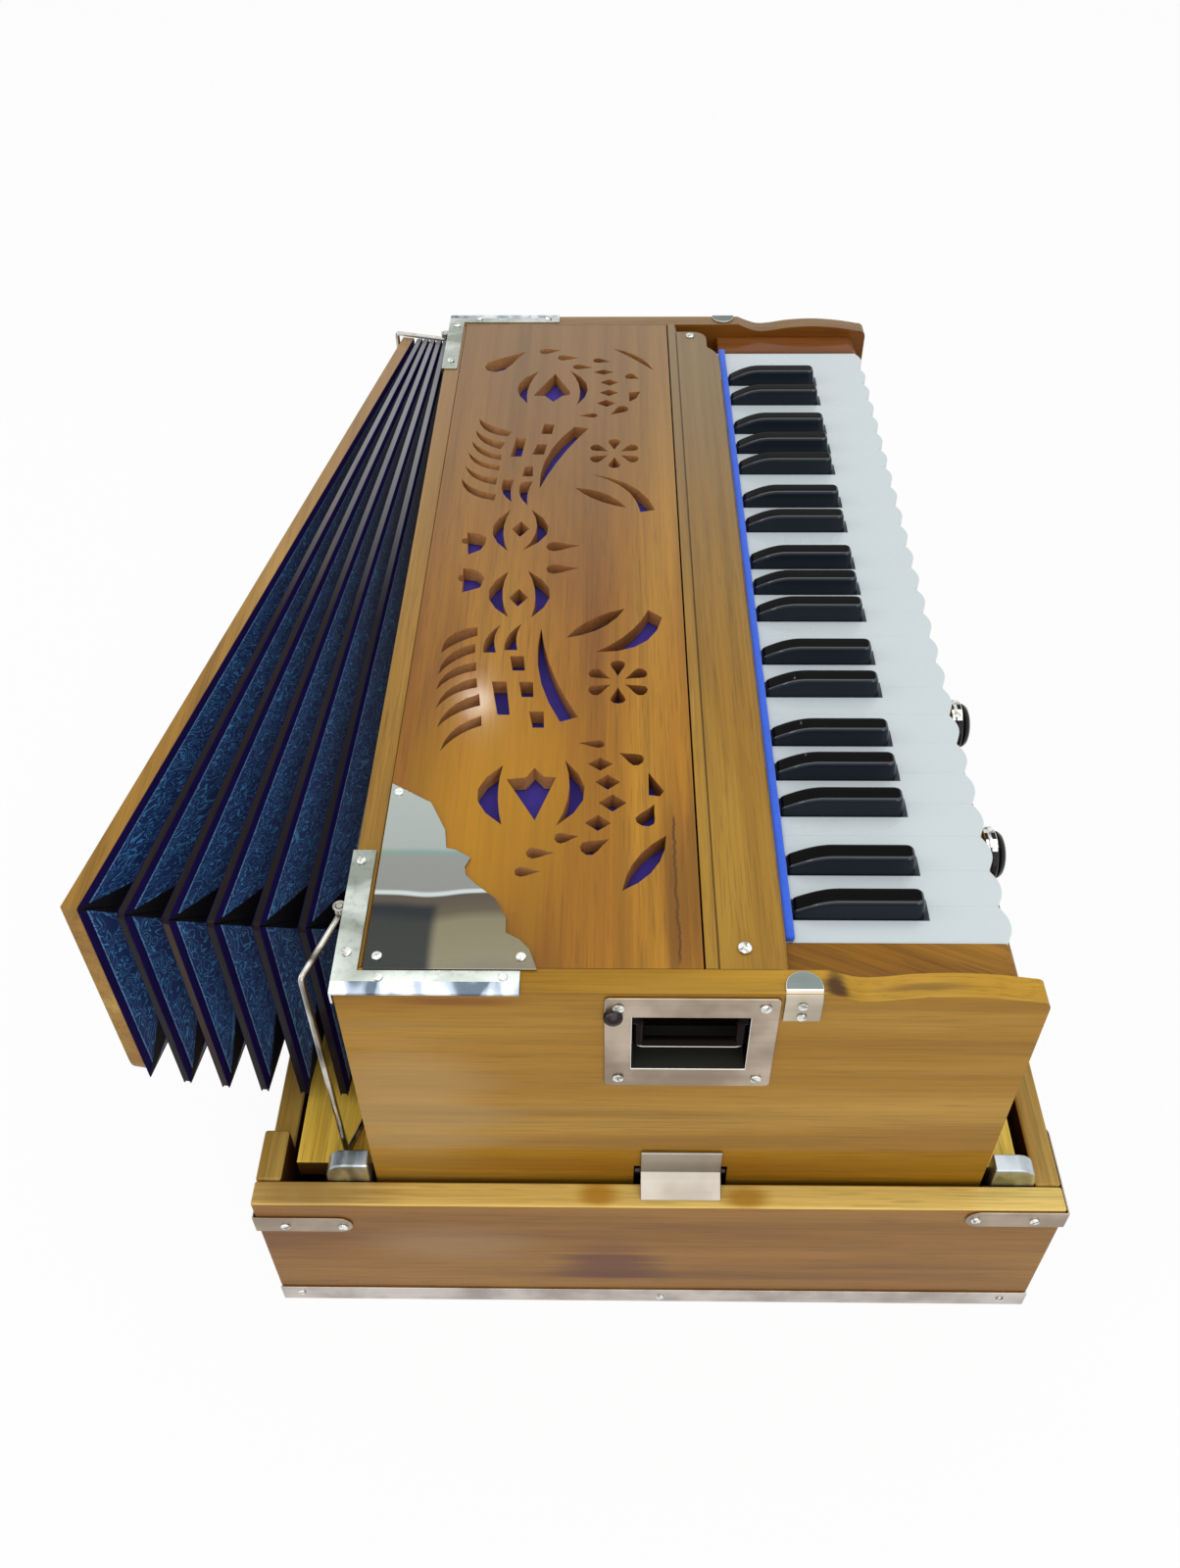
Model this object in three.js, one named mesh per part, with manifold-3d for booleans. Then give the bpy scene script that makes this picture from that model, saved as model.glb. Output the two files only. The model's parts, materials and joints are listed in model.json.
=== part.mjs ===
// A folding indian harmonium: a keyboard case that stands raised in its travel tray, with fan bellows behind.
// Millimetres, +Z up. X runs from the bellows (-) to the player (+), Y along the keyboard from bass (-) to
// treble (+).
// The origin is the middle of the tray's underside.
import * as THREE from "three";
import { mergeVertices } from "three/addons/utils/BufferGeometryUtils.js";
import Module from "manifold-3d";

const wasm = await Module();
wasm.setup();

// Clearances
const FIT = 0.3; // between two pieces that touch
const OVERRUN = 3; // how far a cutter runs past the face it opens

// Tray
const TRAY_LENGTH = 614;
const TRAY_WIDTH = 386;
const TRAY_HEIGHT = 100.3;
const TRAY_WALL = 12.5;
const TRAY_FLOOR = 9;
const TRAY_NOTCH_DEPTH = 16; // the bellows side wall is lower between its ends
const TRAY_NOTCH_END = 40; // length that stays full height at each end
const STRAP_LENGTH = 47;
const STRAP_HEIGHT = 13;
const STRAP_DROP_LEFT = 11.8; // from the rim to the strap's top edge
const STRAP_DROP_RIGHT = 1.3;
const STRAP_THICKNESS = 0.8;
const BASE_STRIP_HEIGHT = 13;
const LUG_WIDTH = 21;
const LUG_HEIGHT = 13.5;
const LUG_DEPTH = 9;
const LUG_ROUND = 5;
const LUG_GAP = 2.4; // from the case's back face

// Case
const CASE_END_GAP = 3; // between the case's ends and the tray
const CASE_BACK_INSET = 45.7; // from the tray's inside to the face that carries the bellows
const CASE_FRONT_INSET = 25;
const CASE_RISE = 149.1; // the case's top above the tray's rim
const CHEEK = 12;
const BACK_BOARD = 10.5;
const FRONT_BOARD = 12;
const WAVE_DEPTH = 6; // of the waved top of a cheek
const WAVE_NOSE = 5; // radius of a cheek's front top corner
const BASE_THICKNESS = 12;
const BASE_SIDE_GAP = 6; // between the base board and the tray's side walls
const BASE_END_GAP = 9.8;
const FRONT_BOARD_DROP = 34.9; // below the case's top, as all that is named a drop down to the stops

// Top of the case
const PANEL_RIGHT = 15.6;
const PANEL_THICKNESS = 8;
const PANEL_GROOVE = 0.9;
const BEAD_WIDTH = 5;
const COVER_RIGHT = 51;
const COVER_THICKNESS = 8.2;
const COVER_ROUND = 5;
const COVER_END_GAP = 10.3; // from the cover board's far end to the cheek
const COVER_CORNER_IN = 8.5; // how far its far corner is set in from its right edge
const COVER_CORNER_ROUND = 11;
const COVER_CORNER_LENGTH = 22;
const COVER_SLANT_LENGTH = 18;
const CLOTH_THICKNESS = 0.8;
const FELT_WIDTH = 4.3;
const FELT_HEIGHT = 3.6;

// Keys
const WHITE_KEYS = 25;
const END_BLOCK = 21.7;
const KEY_GAP = 0.5;
const LEVER_INSET = 0.4; // how much narrower a lever is than the key on it, each side
const KEY_DROP = 10.4;
const KEY_FRONT = 145.5; // where two scallops meet
const SCALLOP = 3.6;
const KEY_HEIGHT = 15;
const KEY_REAR = 40;
const BLACK_FRONT = 113;
const BLACK_REAR = 56.2;
const BLACK_RISE = 10;
const BLACK_REAR_RISE = 4.6;
const BLACK_WIDTH_SHARE = 0.5243; // of the key pitch
const BLACK_TOP_SHARE = 0.7963; // of its own width
const BLACK_NOSE = 5;
const NECK_GAP = 1.9; // room in front of a black key, which tips forward as it dips
const NARROW_OFFSET_SHARE = 0.1165; // outer black keys of a pair, from the line between their white keys
const WIDE_OFFSET_SHARE = 0.1456; // outer black keys of a group of three
const PIVOT_X = 30;
const PIVOT_DROP = 26; // below the keys' top
const KEY_DIP_DEG = 3.8;
const TAIL_END = -72;
const TAIL_DROP = 6; // below the pivot
const TAIL_HEIGHT = 12;
const TAIL_WIDTH_SHARE = 0.34;
const PALLET_LENGTH = 48;
const PALLET_WIDTH_SHARE = 0.45;
const PALLET_HEIGHT = 4;
const COUPLER = 3; // side of a coupler rod
const COUPLER_PITCH = 6.6;
const COUPLER_GAP = 1.2;

// Inside the case
const REED_BOARD = 8.7;
const REED_SLOT_LENGTH = 38;
const REED_SLOT_SHARE = 0.24;
const REED_PLATE = 2.4;
const REED_PLATE_WIDTH = 60;
const REED_LONGEST = 38;
const REED_SHORTEST = 14;
const REED_WIDTH_SHARE = 0.15;
const REED_THICKNESS = 1.6;
const INNER_GAP = 3; // between a handle cup and the key frame or the reed board
const PARTITION = 12;
const KEY_BED = 8;
const KEY_BED_DROP = 9; // below the pivot
const BALANCE_SLOPE_DROP = 3;
const FRONT_RAIL_WIDTH = 14;
const FRONT_RAIL_RISE = 2.4; // above the pivot
const PORT_RADIUS = 15;
const PORT_SPACING = 150;
const END_BLOCK_ROUND = 6;
const END_BLOCK_RISE = 1.2; // above the keys
const END_BLOCK_REACH = 2.1; // past the line where two scallops meet

// Stops
const STOPS = 4;
const STOP_SPACING = 98;
const STOP_DROP = 77.4;
const STOP_ROD_RADIUS = 3.4;
const STOP_ROD_LENGTH = 34;
const STOP_FERRULE_RADIUS = 10;
const STOP_FERRULE_LENGTH = 2.4;
const STOP_NECK_RADIUS = 8;
const STOP_KNOB_RADIUS = 12.5;
const STOP_KNOB_LENGTH = 9.4;
const STOPS_DRAWN = 2; // the near ones are out, the others in
const STOP_TRAVEL = 12;

// Bellows
const FOLDS = 6;
const FOLD_PITCH = 4.6; // thickness of a fold when shut, and always at the far end
const FOLD_ANGLE_DEG = 1.68; // opening of each fold at rest
const BELLOWS_FAR_INSET = 14.5; // from the case's far end
const BELLOWS_NEAR_INSET = 39.5;
const BELLOWS_RISE = 6.2; // above the tray's rim
const BELLOWS_DROP = 9.4;
const BOARD_THICKNESS = 7.6;
const BOARD_CORNER = 14;
const RIB_BAR = 8;
const RIB_THICKNESS = 3;
const FOLD_DEPTH = 25;
const CLOTH_INSET = 6;
const INLET_RADIUS = 7;
const INLET_SPACING = 60;
const INLETS = 4;

// Fittings
const PLATE = 1; // thickness of sheet metal
const BRACKET_LENGTH_X = 76;
const BRACKET_LENGTH_Y = 76;
const BRACKET_ARM = 10.4; // width of the arm along the case's back edge
const BRACKET_BACK_LIP = 6.5;
const BRACKET_END_LIP = 0.8;
const EYE_RADIUS = 3;
const EYE_HEIGHT = 3.4;
const WIRE_RADIUS = 1.5;
const BAIL_RADIUS = 36.5;
const BAIL_AXIS_OUT = 3.4; // from the case's face to the bail's axis
const BAIL_DROP = 5.4;
const BAIL_RISE = 3; // above the base board
const BAIL_PIN_DEPTH = 5;
const NEAR_BAIL_INSET = 45; // from the case's end
const FAR_BAIL_INSET = 22.5;
const NEAR_BAIL_DEG = 71.5; // from straight back to the resting arm
const FAR_BAIL_DEG = 14.7;
const CORNER_PLATE_WIDTH = 71.4;
const CORNER_PLATE_LENGTH = 106.6;
const CORNER_PLATE_OVERLAP = 2; // over the cheek's inner edge
const CLIP_GAP = 1.4; // from the handle's plate
const CLIP_WIDTH = 15.2;
const CLIP_DROP = 16.8;
const CLIP_REACH = 10.5;
const CLIP_THICKNESS = 1.2;

// Handles
const HANDLE_CENTRE_X = 10.8;
const HANDLE_CENTRE_DROP = 34;
const HANDLE_PLATE_WIDTH = 71.6;
const HANDLE_PLATE_HEIGHT = 63.6;
const HANDLE_MOUTH_WIDTH = 48.6;
const HANDLE_MOUTH_HEIGHT = 37.6;
const HANDLE_CUP_DEPTH = 22;
const HANDLE_CUP_WALL = 1.2;
const HANDLE_BAR_RADIUS = 2.4;
const HANDLE_DROP = 16.5;
const HANDLE_AXIS_DOWN = 6; // below the mouth's top edge
const HANDLE_AXIS_IN = 2.6; // behind the cheek's face

// Support flaps
const FLAP_CENTRE_X = 11.2;
const FLAP_WIDTH = 38;
const FLAP_PIN_RADIUS = 2.2;
const FLAP_PIN_IN = 2.5; // behind the cheek's face
const FLAP_PIN_RISE = 4; // above the base board
const FLAP_THICKNESS = 1.6;
const FLAP_BEND_UP = 5.4;
const FLAP_LEAF_UP = 22;
const FLAP_LIP_OUT = 13;
const FLAP_LIP_DOWN = 1.4;
const FLAP_POCKET_TOP = 7.4;
const FLAP_POCKET_IN = 15.4;
const FLAP_POCKET_SIDE = 3.2;

// Places worked out from the sizes above
const trayX = TRAY_WIDTH / 2;
const trayY = TRAY_LENGTH / 2;
const innerX = trayX - TRAY_WALL;
const innerY = trayY - TRAY_WALL;
const caseBack = innerX - CASE_BACK_INSET;
const caseFront = innerX - CASE_FRONT_INSET;
const caseY = innerY - CASE_END_GAP;
const cheekIn = caseY - CHEEK;
const boardY = cheekIn - FIT; // half length of what fits between the cheeks
const backIn = -caseBack + BACK_BOARD;
const frontIn = caseFront - FRONT_BOARD;
const baseTop = TRAY_HEIGHT - FIT; // the case stands so that its base board is level with the tray's rim
const caseTop = TRAY_HEIGHT + CASE_RISE;
const baseBottom = baseTop - BASE_THICKNESS;
const boardBottom = baseTop + FIT;
const panelLeft = backIn + FIT;
const panelBottom = caseTop - PANEL_THICKNESS;
const coverLeft = PANEL_RIGHT + PANEL_GROOVE;
const coverBottom = caseTop - COVER_THICKNESS;
const frontBoardTop = caseTop - FRONT_BOARD_DROP;
const frameY = caseY - HANDLE_CUP_DEPTH - INNER_GAP; // half length of the key frame and the reed board
const keyboardY = boardY - END_BLOCK;
const keyPitch = (2 * keyboardY) / WHITE_KEYS;
const keyTop = caseTop - KEY_DROP;
const pivotZ = keyTop - PIVOT_DROP;
const keyBedTop = pivotZ - KEY_BED_DROP;
const frontRailTop = pivotZ + FRONT_RAIL_RISE;
const tailBottom = pivotZ - TAIL_DROP;
const blackWidth = BLACK_WIDTH_SHARE * keyPitch;
const tailWidth = TAIL_WIDTH_SHARE * keyPitch;
const palletWidth = PALLET_WIDTH_SHARE * keyPitch;
const reedSlotWidth = REED_SLOT_SHARE * keyPitch;
const reedWidth = REED_WIDTH_SHARE * keyPitch;
const stopZ = caseTop - STOP_DROP;
const keyDip = THREE.MathUtils.degToRad(KEY_DIP_DEG);
const reedTop = tailBottom - FIT;
const reedBottom = reedTop - REED_BOARD;
const bellowsFar = caseY - BELLOWS_FAR_INSET;
const bellowsLength = 2 * caseY - BELLOWS_FAR_INSET - BELLOWS_NEAR_INSET;
const bellowsBottom = TRAY_HEIGHT + BELLOWS_RISE;
const bellowsTop = caseTop - BELLOWS_DROP;
const bailTop = caseTop - BAIL_DROP;
const bailBottom = baseTop + BAIL_RISE;
const nearBailY = NEAR_BAIL_INSET - caseY;
const farBailY = caseY - FAR_BAIL_INSET;
const handleZ = caseTop - HANDLE_CENTRE_DROP;
const flapPinZ = baseTop + FLAP_PIN_RISE;
const clipX = HANDLE_CENTRE_X + HANDLE_PLATE_WIDTH / 2 + CLIP_GAP + CLIP_WIDTH / 2;
const foldAngle = THREE.MathUtils.degToRad(FOLD_ANGLE_DEG);
const handleAxisZ = handleZ + HANDLE_MOUTH_HEIGHT / 2 - HANDLE_AXIS_DOWN;

// Materials
const finish = (color, roughness, metalness = 0) =>
  new THREE.MeshStandardMaterial({ color, roughness, metalness });
const teak = finish(0xb57a32, 0.35);
const paleWood = finish(0xc99a55, 0.55);
const frettedWood = finish(0xb0702a, 0.3);
const innerWood = finish(0x9a7340, 0.75);
const bluePurpleCloth = finish(0x281e7a, 0.9);
const blueFelt = finish(0x4673d7, 0.95);
const whiteKey = finish(0xd8e2e4, 0.2);
const blackKey = finish(0x0b0c0e, 0.08);
const bellowsCloth = finish(0x17335c, 0.8);
const ribCard = finish(0x4a3327, 0.7);
const steel = finish(0xb9b4ac, 0.35, 0.9);
const chrome = finish(0xd6dbd8, 0.1, 1);
const blackMetal = finish(0x141414, 0.3, 0.6);
const brass = finish(0xb08d43, 0.35, 0.9);
const stopBlack = finish(0x101010, 0.25);

// Geometry helpers
function block(x0, x1, y0, y1, z0, z1) {
  const [dx, dy, dz] = [Math.abs(x1 - x0), Math.abs(y1 - y0), Math.abs(z1 - z0)];
  return new THREE.BoxGeometry(dx, dy, dz).translate((x0 + x1) / 2, (y0 + y1) / 2, (z0 + z1) / 2);
}

function toShape(outline) {
  if (outline instanceof THREE.Shape) return outline;
  return new THREE.Shape(outline.map(([a, b]) => new THREE.Vector2(a, b)));
}

function extrude(outline, depth, segments = 8) {
  const settings = { depth, bevelEnabled: false, curveSegments: segments };
  return new THREE.ExtrudeGeometry(toShape(outline), settings);
}

// An outline in X and Y, extruded up from z0 to z1.
function upright(outline, z0, z1, segments) {
  return extrude(outline, z1 - z0, segments).translate(0, 0, z0);
}

// An outline in X and Z, extruded between two places on Y.
function acrossY(outline, ya, yb, segments) {
  const [y0, y1] = [Math.min(ya, yb), Math.max(ya, yb)];
  return extrude(outline, y1 - y0, segments).rotateX(Math.PI / 2).translate(0, y1, 0);
}

// An outline in Y and Z, extruded between two places on X.
function acrossX(outline, x0, x1, segments) {
  const right = new THREE.Vector3(0, 1, 0);
  const up = new THREE.Vector3(0, 0, 1);
  const out = new THREE.Vector3(1, 0, 0);
  const turn = new THREE.Matrix4().makeBasis(right, up, out);
  return extrude(outline, x1 - x0, segments).applyMatrix4(turn).translate(x0, 0, 0);
}

function rod(from, to, radius, sides = 12) {
  const a = new THREE.Vector3(...from);
  const b = new THREE.Vector3(...to);
  const along = b.clone().sub(a);
  const yAxis = new THREE.Vector3(0, 1, 0);
  const turn = new THREE.Quaternion().setFromUnitVectors(yAxis, along.clone().normalize());
  const geometry = new THREE.CylinderGeometry(radius, radius, along.length(), sides);
  const middle = a.add(b).multiplyScalar(0.5);
  return geometry.applyQuaternion(turn).translate(middle.x, middle.y, middle.z);
}

// A closed geometry as a solid that can be cut and joined.
function solid(geometry) {
  const bare = geometry.index ? geometry.toNonIndexed() : geometry.clone();
  bare.deleteAttribute("normal");
  bare.deleteAttribute("uv");
  const merged = mergeVertices(bare, 1e-4);
  return new wasm.Manifold(
    new wasm.Mesh({
      numProp: 3,
      vertProperties: merged.attributes.position.array,
      triVerts: new Uint32Array(merged.index.array),
    }),
  );
}

const isSolid = (shape) => typeof shape.getMesh === "function";
const asSolid = (shape) => (isSolid(shape) ? shape : solid(shape));
const join = (...shapes) => shapes.map(asSolid).reduce((all, next) => all.add(next));
const cut = (body, ...tools) => tools.map(asSolid).reduce((all, next) => all.subtract(next), asSolid(body));

function toGeometry(shape) {
  if (!isSolid(shape)) return shape;
  const { vertProperties, triVerts } = shape.getMesh();
  const geometry = new THREE.BufferGeometry();
  geometry.setAttribute("position", new THREE.BufferAttribute(vertProperties, 3));
  geometry.setIndex(new THREE.BufferAttribute(triVerts, 1));
  geometry.computeVertexNormals();
  return geometry;
}

const harmonium = new THREE.Group();
const tray = new THREE.Group();
const keyCase = new THREE.Group();
harmonium.add(tray, keyCase);

function place(group, name, shape, material) {
  const mesh = new THREE.Mesh(toGeometry(shape), material);
  mesh.name = name;
  group.add(mesh);
  return mesh;
}

const ENDS = [
  ["near", -1],
  ["far", 1],
];

// The tray that the case stands in
function buildTray() {
  for (const [end, side] of ENDS) {
    const wall = block(-trayX, trayX, side * innerY, side * trayY, 0, TRAY_HEIGHT);
    place(tray, `tray_${end}_wall`, wall, teak);
  }
  const sideY = innerY - FIT;
  const right = block(innerX, trayX, -sideY, sideY, 0, TRAY_HEIGHT);
  const left = block(-trayX, -innerX, -sideY, sideY, 0, TRAY_HEIGHT);
  const notchY = innerY - TRAY_NOTCH_END + TRAY_WALL;
  const notchBottom = TRAY_HEIGHT - TRAY_NOTCH_DEPTH;
  const notchTop = TRAY_HEIGHT + OVERRUN;
  const notch = block(-trayX - OVERRUN, -innerX + OVERRUN, -notchY, notchY, notchBottom, notchTop);
  place(tray, "tray_right_wall", right, teak);
  place(tray, "tray_left_wall", cut(left, notch), teak);
  const floor = block(-innerX + FIT, innerX - FIT, -sideY, sideY, 0, TRAY_FLOOR);
  place(tray, "tray_floor", floor, paleWood);
}

// A steel strap bent round a near corner of the tray, with a round end on the long arm
function buildStrap(name, side, dropFromRim) {
  const top = TRAY_HEIGHT - dropFromRim;
  const middle = top - STRAP_HEIGHT / 2;
  const face = -trayY - FIT;
  const outer = trayX + FIT;
  const radius = STRAP_HEIGHT / 2;
  const tipX = outer - STRAP_LENGTH + radius;
  const [outside, bottom] = [side * (outer + STRAP_THICKNESS), top - STRAP_HEIGHT];
  const arm = block(side * tipX, outside, face, face - STRAP_THICKNESS, bottom, top);
  const tip = rod([side * tipX, face, middle], [side * tipX, face - STRAP_THICKNESS, middle], radius, 16);
  const back = face + STRAP_LENGTH - radius;
  const sideArm = block(side * outer, outside, face - STRAP_THICKNESS, back, bottom, top);
  const sideTip = rod([side * outer, back, middle], [outside, back, middle], radius, 16);
  place(tray, name, join(arm, tip, sideArm, sideTip), steel);
}

// A rounded metal lug inside the near wall, standing above the rim
function buildLug(name, side, x) {
  const low = TRAY_HEIGHT - LUG_HEIGHT;
  const outline = new THREE.Shape();
  outline.moveTo(x, low);
  outline.lineTo(x, TRAY_HEIGHT + LUG_HEIGHT);
  outline.lineTo(x + side * (LUG_WIDTH - 2 * LUG_ROUND), TRAY_HEIGHT + LUG_HEIGHT);
  const lugEnd = x + side * LUG_WIDTH;
  outline.quadraticCurveTo(lugEnd, TRAY_HEIGHT + LUG_HEIGHT, lugEnd, TRAY_HEIGHT);
  outline.lineTo(x + side * LUG_WIDTH, low);
  outline.closePath();
  place(tray, name, acrossY(outline, -innerY + FIT, -innerY + FIT + LUG_DEPTH), chrome);
}

function buildTrayFittings() {
  buildStrap("strap_near_left", -1, STRAP_DROP_LEFT);
  buildStrap("strap_near_right", 1, STRAP_DROP_RIGHT);
  buildLug("lug_near_left", -1, -caseBack - LUG_GAP);
  buildLug("lug_near_right", 1, innerX - LUG_WIDTH - FIT);
  const face = -trayY - FIT;
  const strip = block(-trayX, trayX, face - STRAP_THICKNESS, face, FIT, FIT + BASE_STRIP_HEIGHT);
  place(tray, "base_strip_near", strip, steel);
}

// The room that a support flap needs in the cheek and in the base board
function flapPocket(side) {
  const halfWidth = FLAP_WIDTH / 2 + FLAP_POCKET_SIDE;
  const inner = caseY - FLAP_PIN_IN - FLAP_POCKET_IN;
  const outer = caseY + OVERRUN;
  const low = baseBottom - OVERRUN;
  const high = flapPinZ + FLAP_POCKET_TOP;
  return block(FLAP_CENTRE_X - halfWidth, FLAP_CENTRE_X + halfWidth, side * inner, side * outer, low, high);
}

function buildBaseBoard() {
  const edgeX = innerX - BASE_SIDE_GAP;
  const edgeY = innerY - BASE_END_GAP;
  const board = block(-edgeX, edgeX, -edgeY, edgeY, baseBottom, baseTop);
  const cuts = [];
  for (const [, side] of ENDS) {
    const cheekRoom = block(
      -caseBack - FIT, caseFront + FIT,
      side * (cheekIn - FIT), side * (caseY + OVERRUN),
      baseBottom - OVERRUN, baseTop + OVERRUN,
    );
    cuts.push(cheekRoom, flapPocket(side));
  }
  for (const y of [nearBailY, farBailY]) {
    const x = -caseBack - BAIL_AXIS_OUT;
    cuts.push(rod([x, y, baseTop - BAIL_PIN_DEPTH - FIT], [x, y, baseTop + OVERRUN], WIRE_RADIUS + FIT));
  }
  place(keyCase, "base_board", cut(board, ...cuts), paleWood);
}

// The cheek's outline seen from the end, with its waved top in front of the cover board
function cheekOutline() {
  const dipShare = [
    [0, 0],
    [0.07, 0.43],
    [0.15, 0.77],
    [0.24, 0.73],
    [0.4, 0.37],
    [0.58, 0.23],
    [0.74, 0.37],
    [0.86, 0.6],
    [0.944, 0.82],
  ];
  const start = COVER_RIGHT + CLIP_WIDTH;
  const run = caseFront - start;
  const onWave = ([along, drop]) => new THREE.Vector2(start + along * run, caseTop - drop * WAVE_DEPTH);
  const wave = dipShare.map(onWave);
  const shape = new THREE.Shape();
  shape.moveTo(-caseBack, baseBottom);
  shape.lineTo(caseFront, baseBottom);
  shape.lineTo(caseFront, wave.at(-1).y - WAVE_NOSE);
  shape.quadraticCurveTo(caseFront, wave.at(-1).y, wave.at(-1).x, wave.at(-1).y);
  shape.splineThru(wave.slice(0, -1).reverse());
  shape.lineTo(-caseBack, caseTop);
  shape.closePath();
  return shape;
}
function buildCheek(end, side) {
  const body = acrossY(cheekOutline(), side * cheekIn, side * caseY, 24);
  const halfWidth = HANDLE_MOUTH_WIDTH / 2 + HANDLE_CUP_WALL + FIT;
  const halfHeight = HANDLE_MOUTH_HEIGHT / 2 + HANDLE_CUP_WALL + FIT;
  const hole = block(
    HANDLE_CENTRE_X - halfWidth, HANDLE_CENTRE_X + halfWidth,
    side * (cheekIn - OVERRUN), side * (caseY + OVERRUN),
    handleZ - halfHeight, handleZ + halfHeight,
  );
  place(keyCase, `${end}_cheek`, cut(body, hole, flapPocket(side)), teak);
}

function buildCaseBoards() {
  const back = block(-caseBack, backIn, -boardY, boardY, boardBottom, caseTop);
  const portZ = (bellowsBottom + bellowsTop) / 2;
  const ports = [-1, 0, 1].map((k) => {
    const y = k * PORT_SPACING;
    return rod([-caseBack - OVERRUN, y, portZ], [backIn + OVERRUN, y, portZ], PORT_RADIUS, 20);
  });
  place(keyCase, "back_board", cut(back, ...ports), teak);

  const front = block(frontIn, caseFront, -boardY, boardY, boardBottom, frontBoardTop);
  const holes = stopPlaces().map((y) => {
    const from = [frontIn - OVERRUN, y, stopZ];
    return rod(from, [caseFront + OVERRUN, y, stopZ], STOP_ROD_RADIUS + FIT, 16);
  });
  place(keyCase, "front_board", cut(front, ...holes), teak);
}

// Partition, balance rail, key bed and front rail, glued up as one frame under the keys
function buildKeyFrame() {
  const left = PIVOT_X - PARTITION / 2;
  const right = PIVOT_X + PARTITION / 2;
  const railZ = pivotZ - FIT;
  const bedEnd = frontIn - FIT;
  const outline = [
    [left, boardBottom],
    [right, boardBottom],
    [right, keyBedTop - KEY_BED],
    [bedEnd, keyBedTop - KEY_BED],
    [bedEnd, frontRailTop],
    [bedEnd - FRONT_RAIL_WIDTH, frontRailTop],
    [bedEnd - FRONT_RAIL_WIDTH, keyBedTop],
    [right, keyBedTop],
    [right, railZ - BALANCE_SLOPE_DROP],
    [PIVOT_X, railZ],
    [left, railZ - BALANCE_SLOPE_DROP],
  ];
  place(keyCase, "key_frame", acrossY(outline, -frameY, frameY), innerWood);
}

function buildEndBlocks() {
  for (const [end, side] of ENDS) {
    const inner = side * (keyboardY + KEY_GAP);
    const outer = side * boardY;
    const left = COVER_RIGHT + FIT;
    const top = keyTop + END_BLOCK_RISE;
    const front = KEY_FRONT + END_BLOCK_REACH;
    const shape = new THREE.Shape();
    shape.moveTo(left, keyBedTop + FIT);
    shape.lineTo(frontIn - 2 * FIT, keyBedTop + FIT);
    shape.lineTo(frontIn - 2 * FIT, frontRailTop + FIT);
    shape.lineTo(front, frontRailTop + FIT);
    shape.lineTo(front, top - END_BLOCK_ROUND);
    shape.quadraticCurveTo(front, top, front - END_BLOCK_ROUND, top);
    shape.lineTo(left, top);
    shape.closePath();
    const body = acrossY(shape, inner, outer);
    const railRoom = block(
      frontIn - FRONT_RAIL_WIDTH - 2 * FIT, front + OVERRUN,
      side * (frameY + FIT), inner - side * OVERRUN,
      keyBedTop, frontRailTop + FIT,
    );
    place(keyCase, `${end}_end_block`, cut(body, railRoom), teak);
  }
}

// Fretwork: outlines in the panel's own shares, u across from the left edge, v from the middle to either end
const panelWidth = PANEL_RIGHT - panelLeft;
const onPanel = ([u, v], half) => new THREE.Vector2(panelLeft + u * panelWidth, -half * v * boardY);

// A lens between two tips. Each bulge is a share of the lens's length, to the left of the way from a to b.
function lens(a, b, bulgeLeft, bulgeRight, half) {
  const from = onPanel(a, half);
  const to = onPanel(b, half);
  const across = new THREE.Vector2(from.y - to.y, to.x - from.x);
  const middle = from.clone().add(to).multiplyScalar(0.5);
  const bend = (share) => middle.clone().addScaledVector(across, 2 * share * half);
  const shape = new THREE.Shape();
  shape.moveTo(from.x, from.y);
  shape.quadraticCurveTo(bend(bulgeLeft).x, bend(bulgeLeft).y, to.x, to.y);
  shape.quadraticCurveTo(bend(bulgeRight).x, bend(bulgeRight).y, from.x, from.y);
  return shape;
}

// A drop with its tail at a and its round end at b, its greatest width a share of its length.
function drop(a, b, widthShare, half) {
  const tail = onPanel(a, half);
  const head = onPanel(b, half);
  const along = head.clone().sub(tail);
  const across = new THREE.Vector2(-along.y, along.x).multiplyScalar(widthShare / 2);
  const profileShare = [
    [0, 0],
    [0.3, 0.38],
    [0.55, 0.8],
    [0.78, 1],
    [0.94, 0.66],
    [1, 0],
  ];
  const edge = (sign) =>
    profileShare.map(([s, w]) => tail.clone().addScaledVector(along, s).addScaledVector(across, sign * w));
  return new THREE.Shape([...edge(1), ...edge(-1).slice(1, -1).reverse()]);
}

function polygon(points, half) {
  return new THREE.Shape(points.map((p) => onPanel(p, half)));
}

// A curved blade from a point at a to a blunt end between b and c, each side bowed by a share of its length.
function blade(a, b, c, bowLeft, bowRight, half) {
  const [tip, left, right] = [a, b, c].map((p) => onPanel(p, half));
  const bowed = (to, bow) => {
    const across = new THREE.Vector2(tip.y - to.y, to.x - tip.x);
    return tip.clone().add(to).multiplyScalar(0.5).addScaledVector(across, 2 * bow * half);
  };
  const outward = bowed(left, bowLeft);
  const inward = bowed(right, bowRight);
  const shape = new THREE.Shape();
  shape.moveTo(tip.x, tip.y);
  shape.quadraticCurveTo(outward.x, outward.y, left.x, left.y);
  shape.lineTo(right.x, right.y);
  shape.quadraticCurveTo(inward.x, inward.y, tip.x, tip.y);
  return shape;
}

function diamond([u, v], du, dv, half) {
  return polygon([[u - du, v], [u, v - dv], [u + du, v], [u, v + dv]], half);
}

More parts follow.
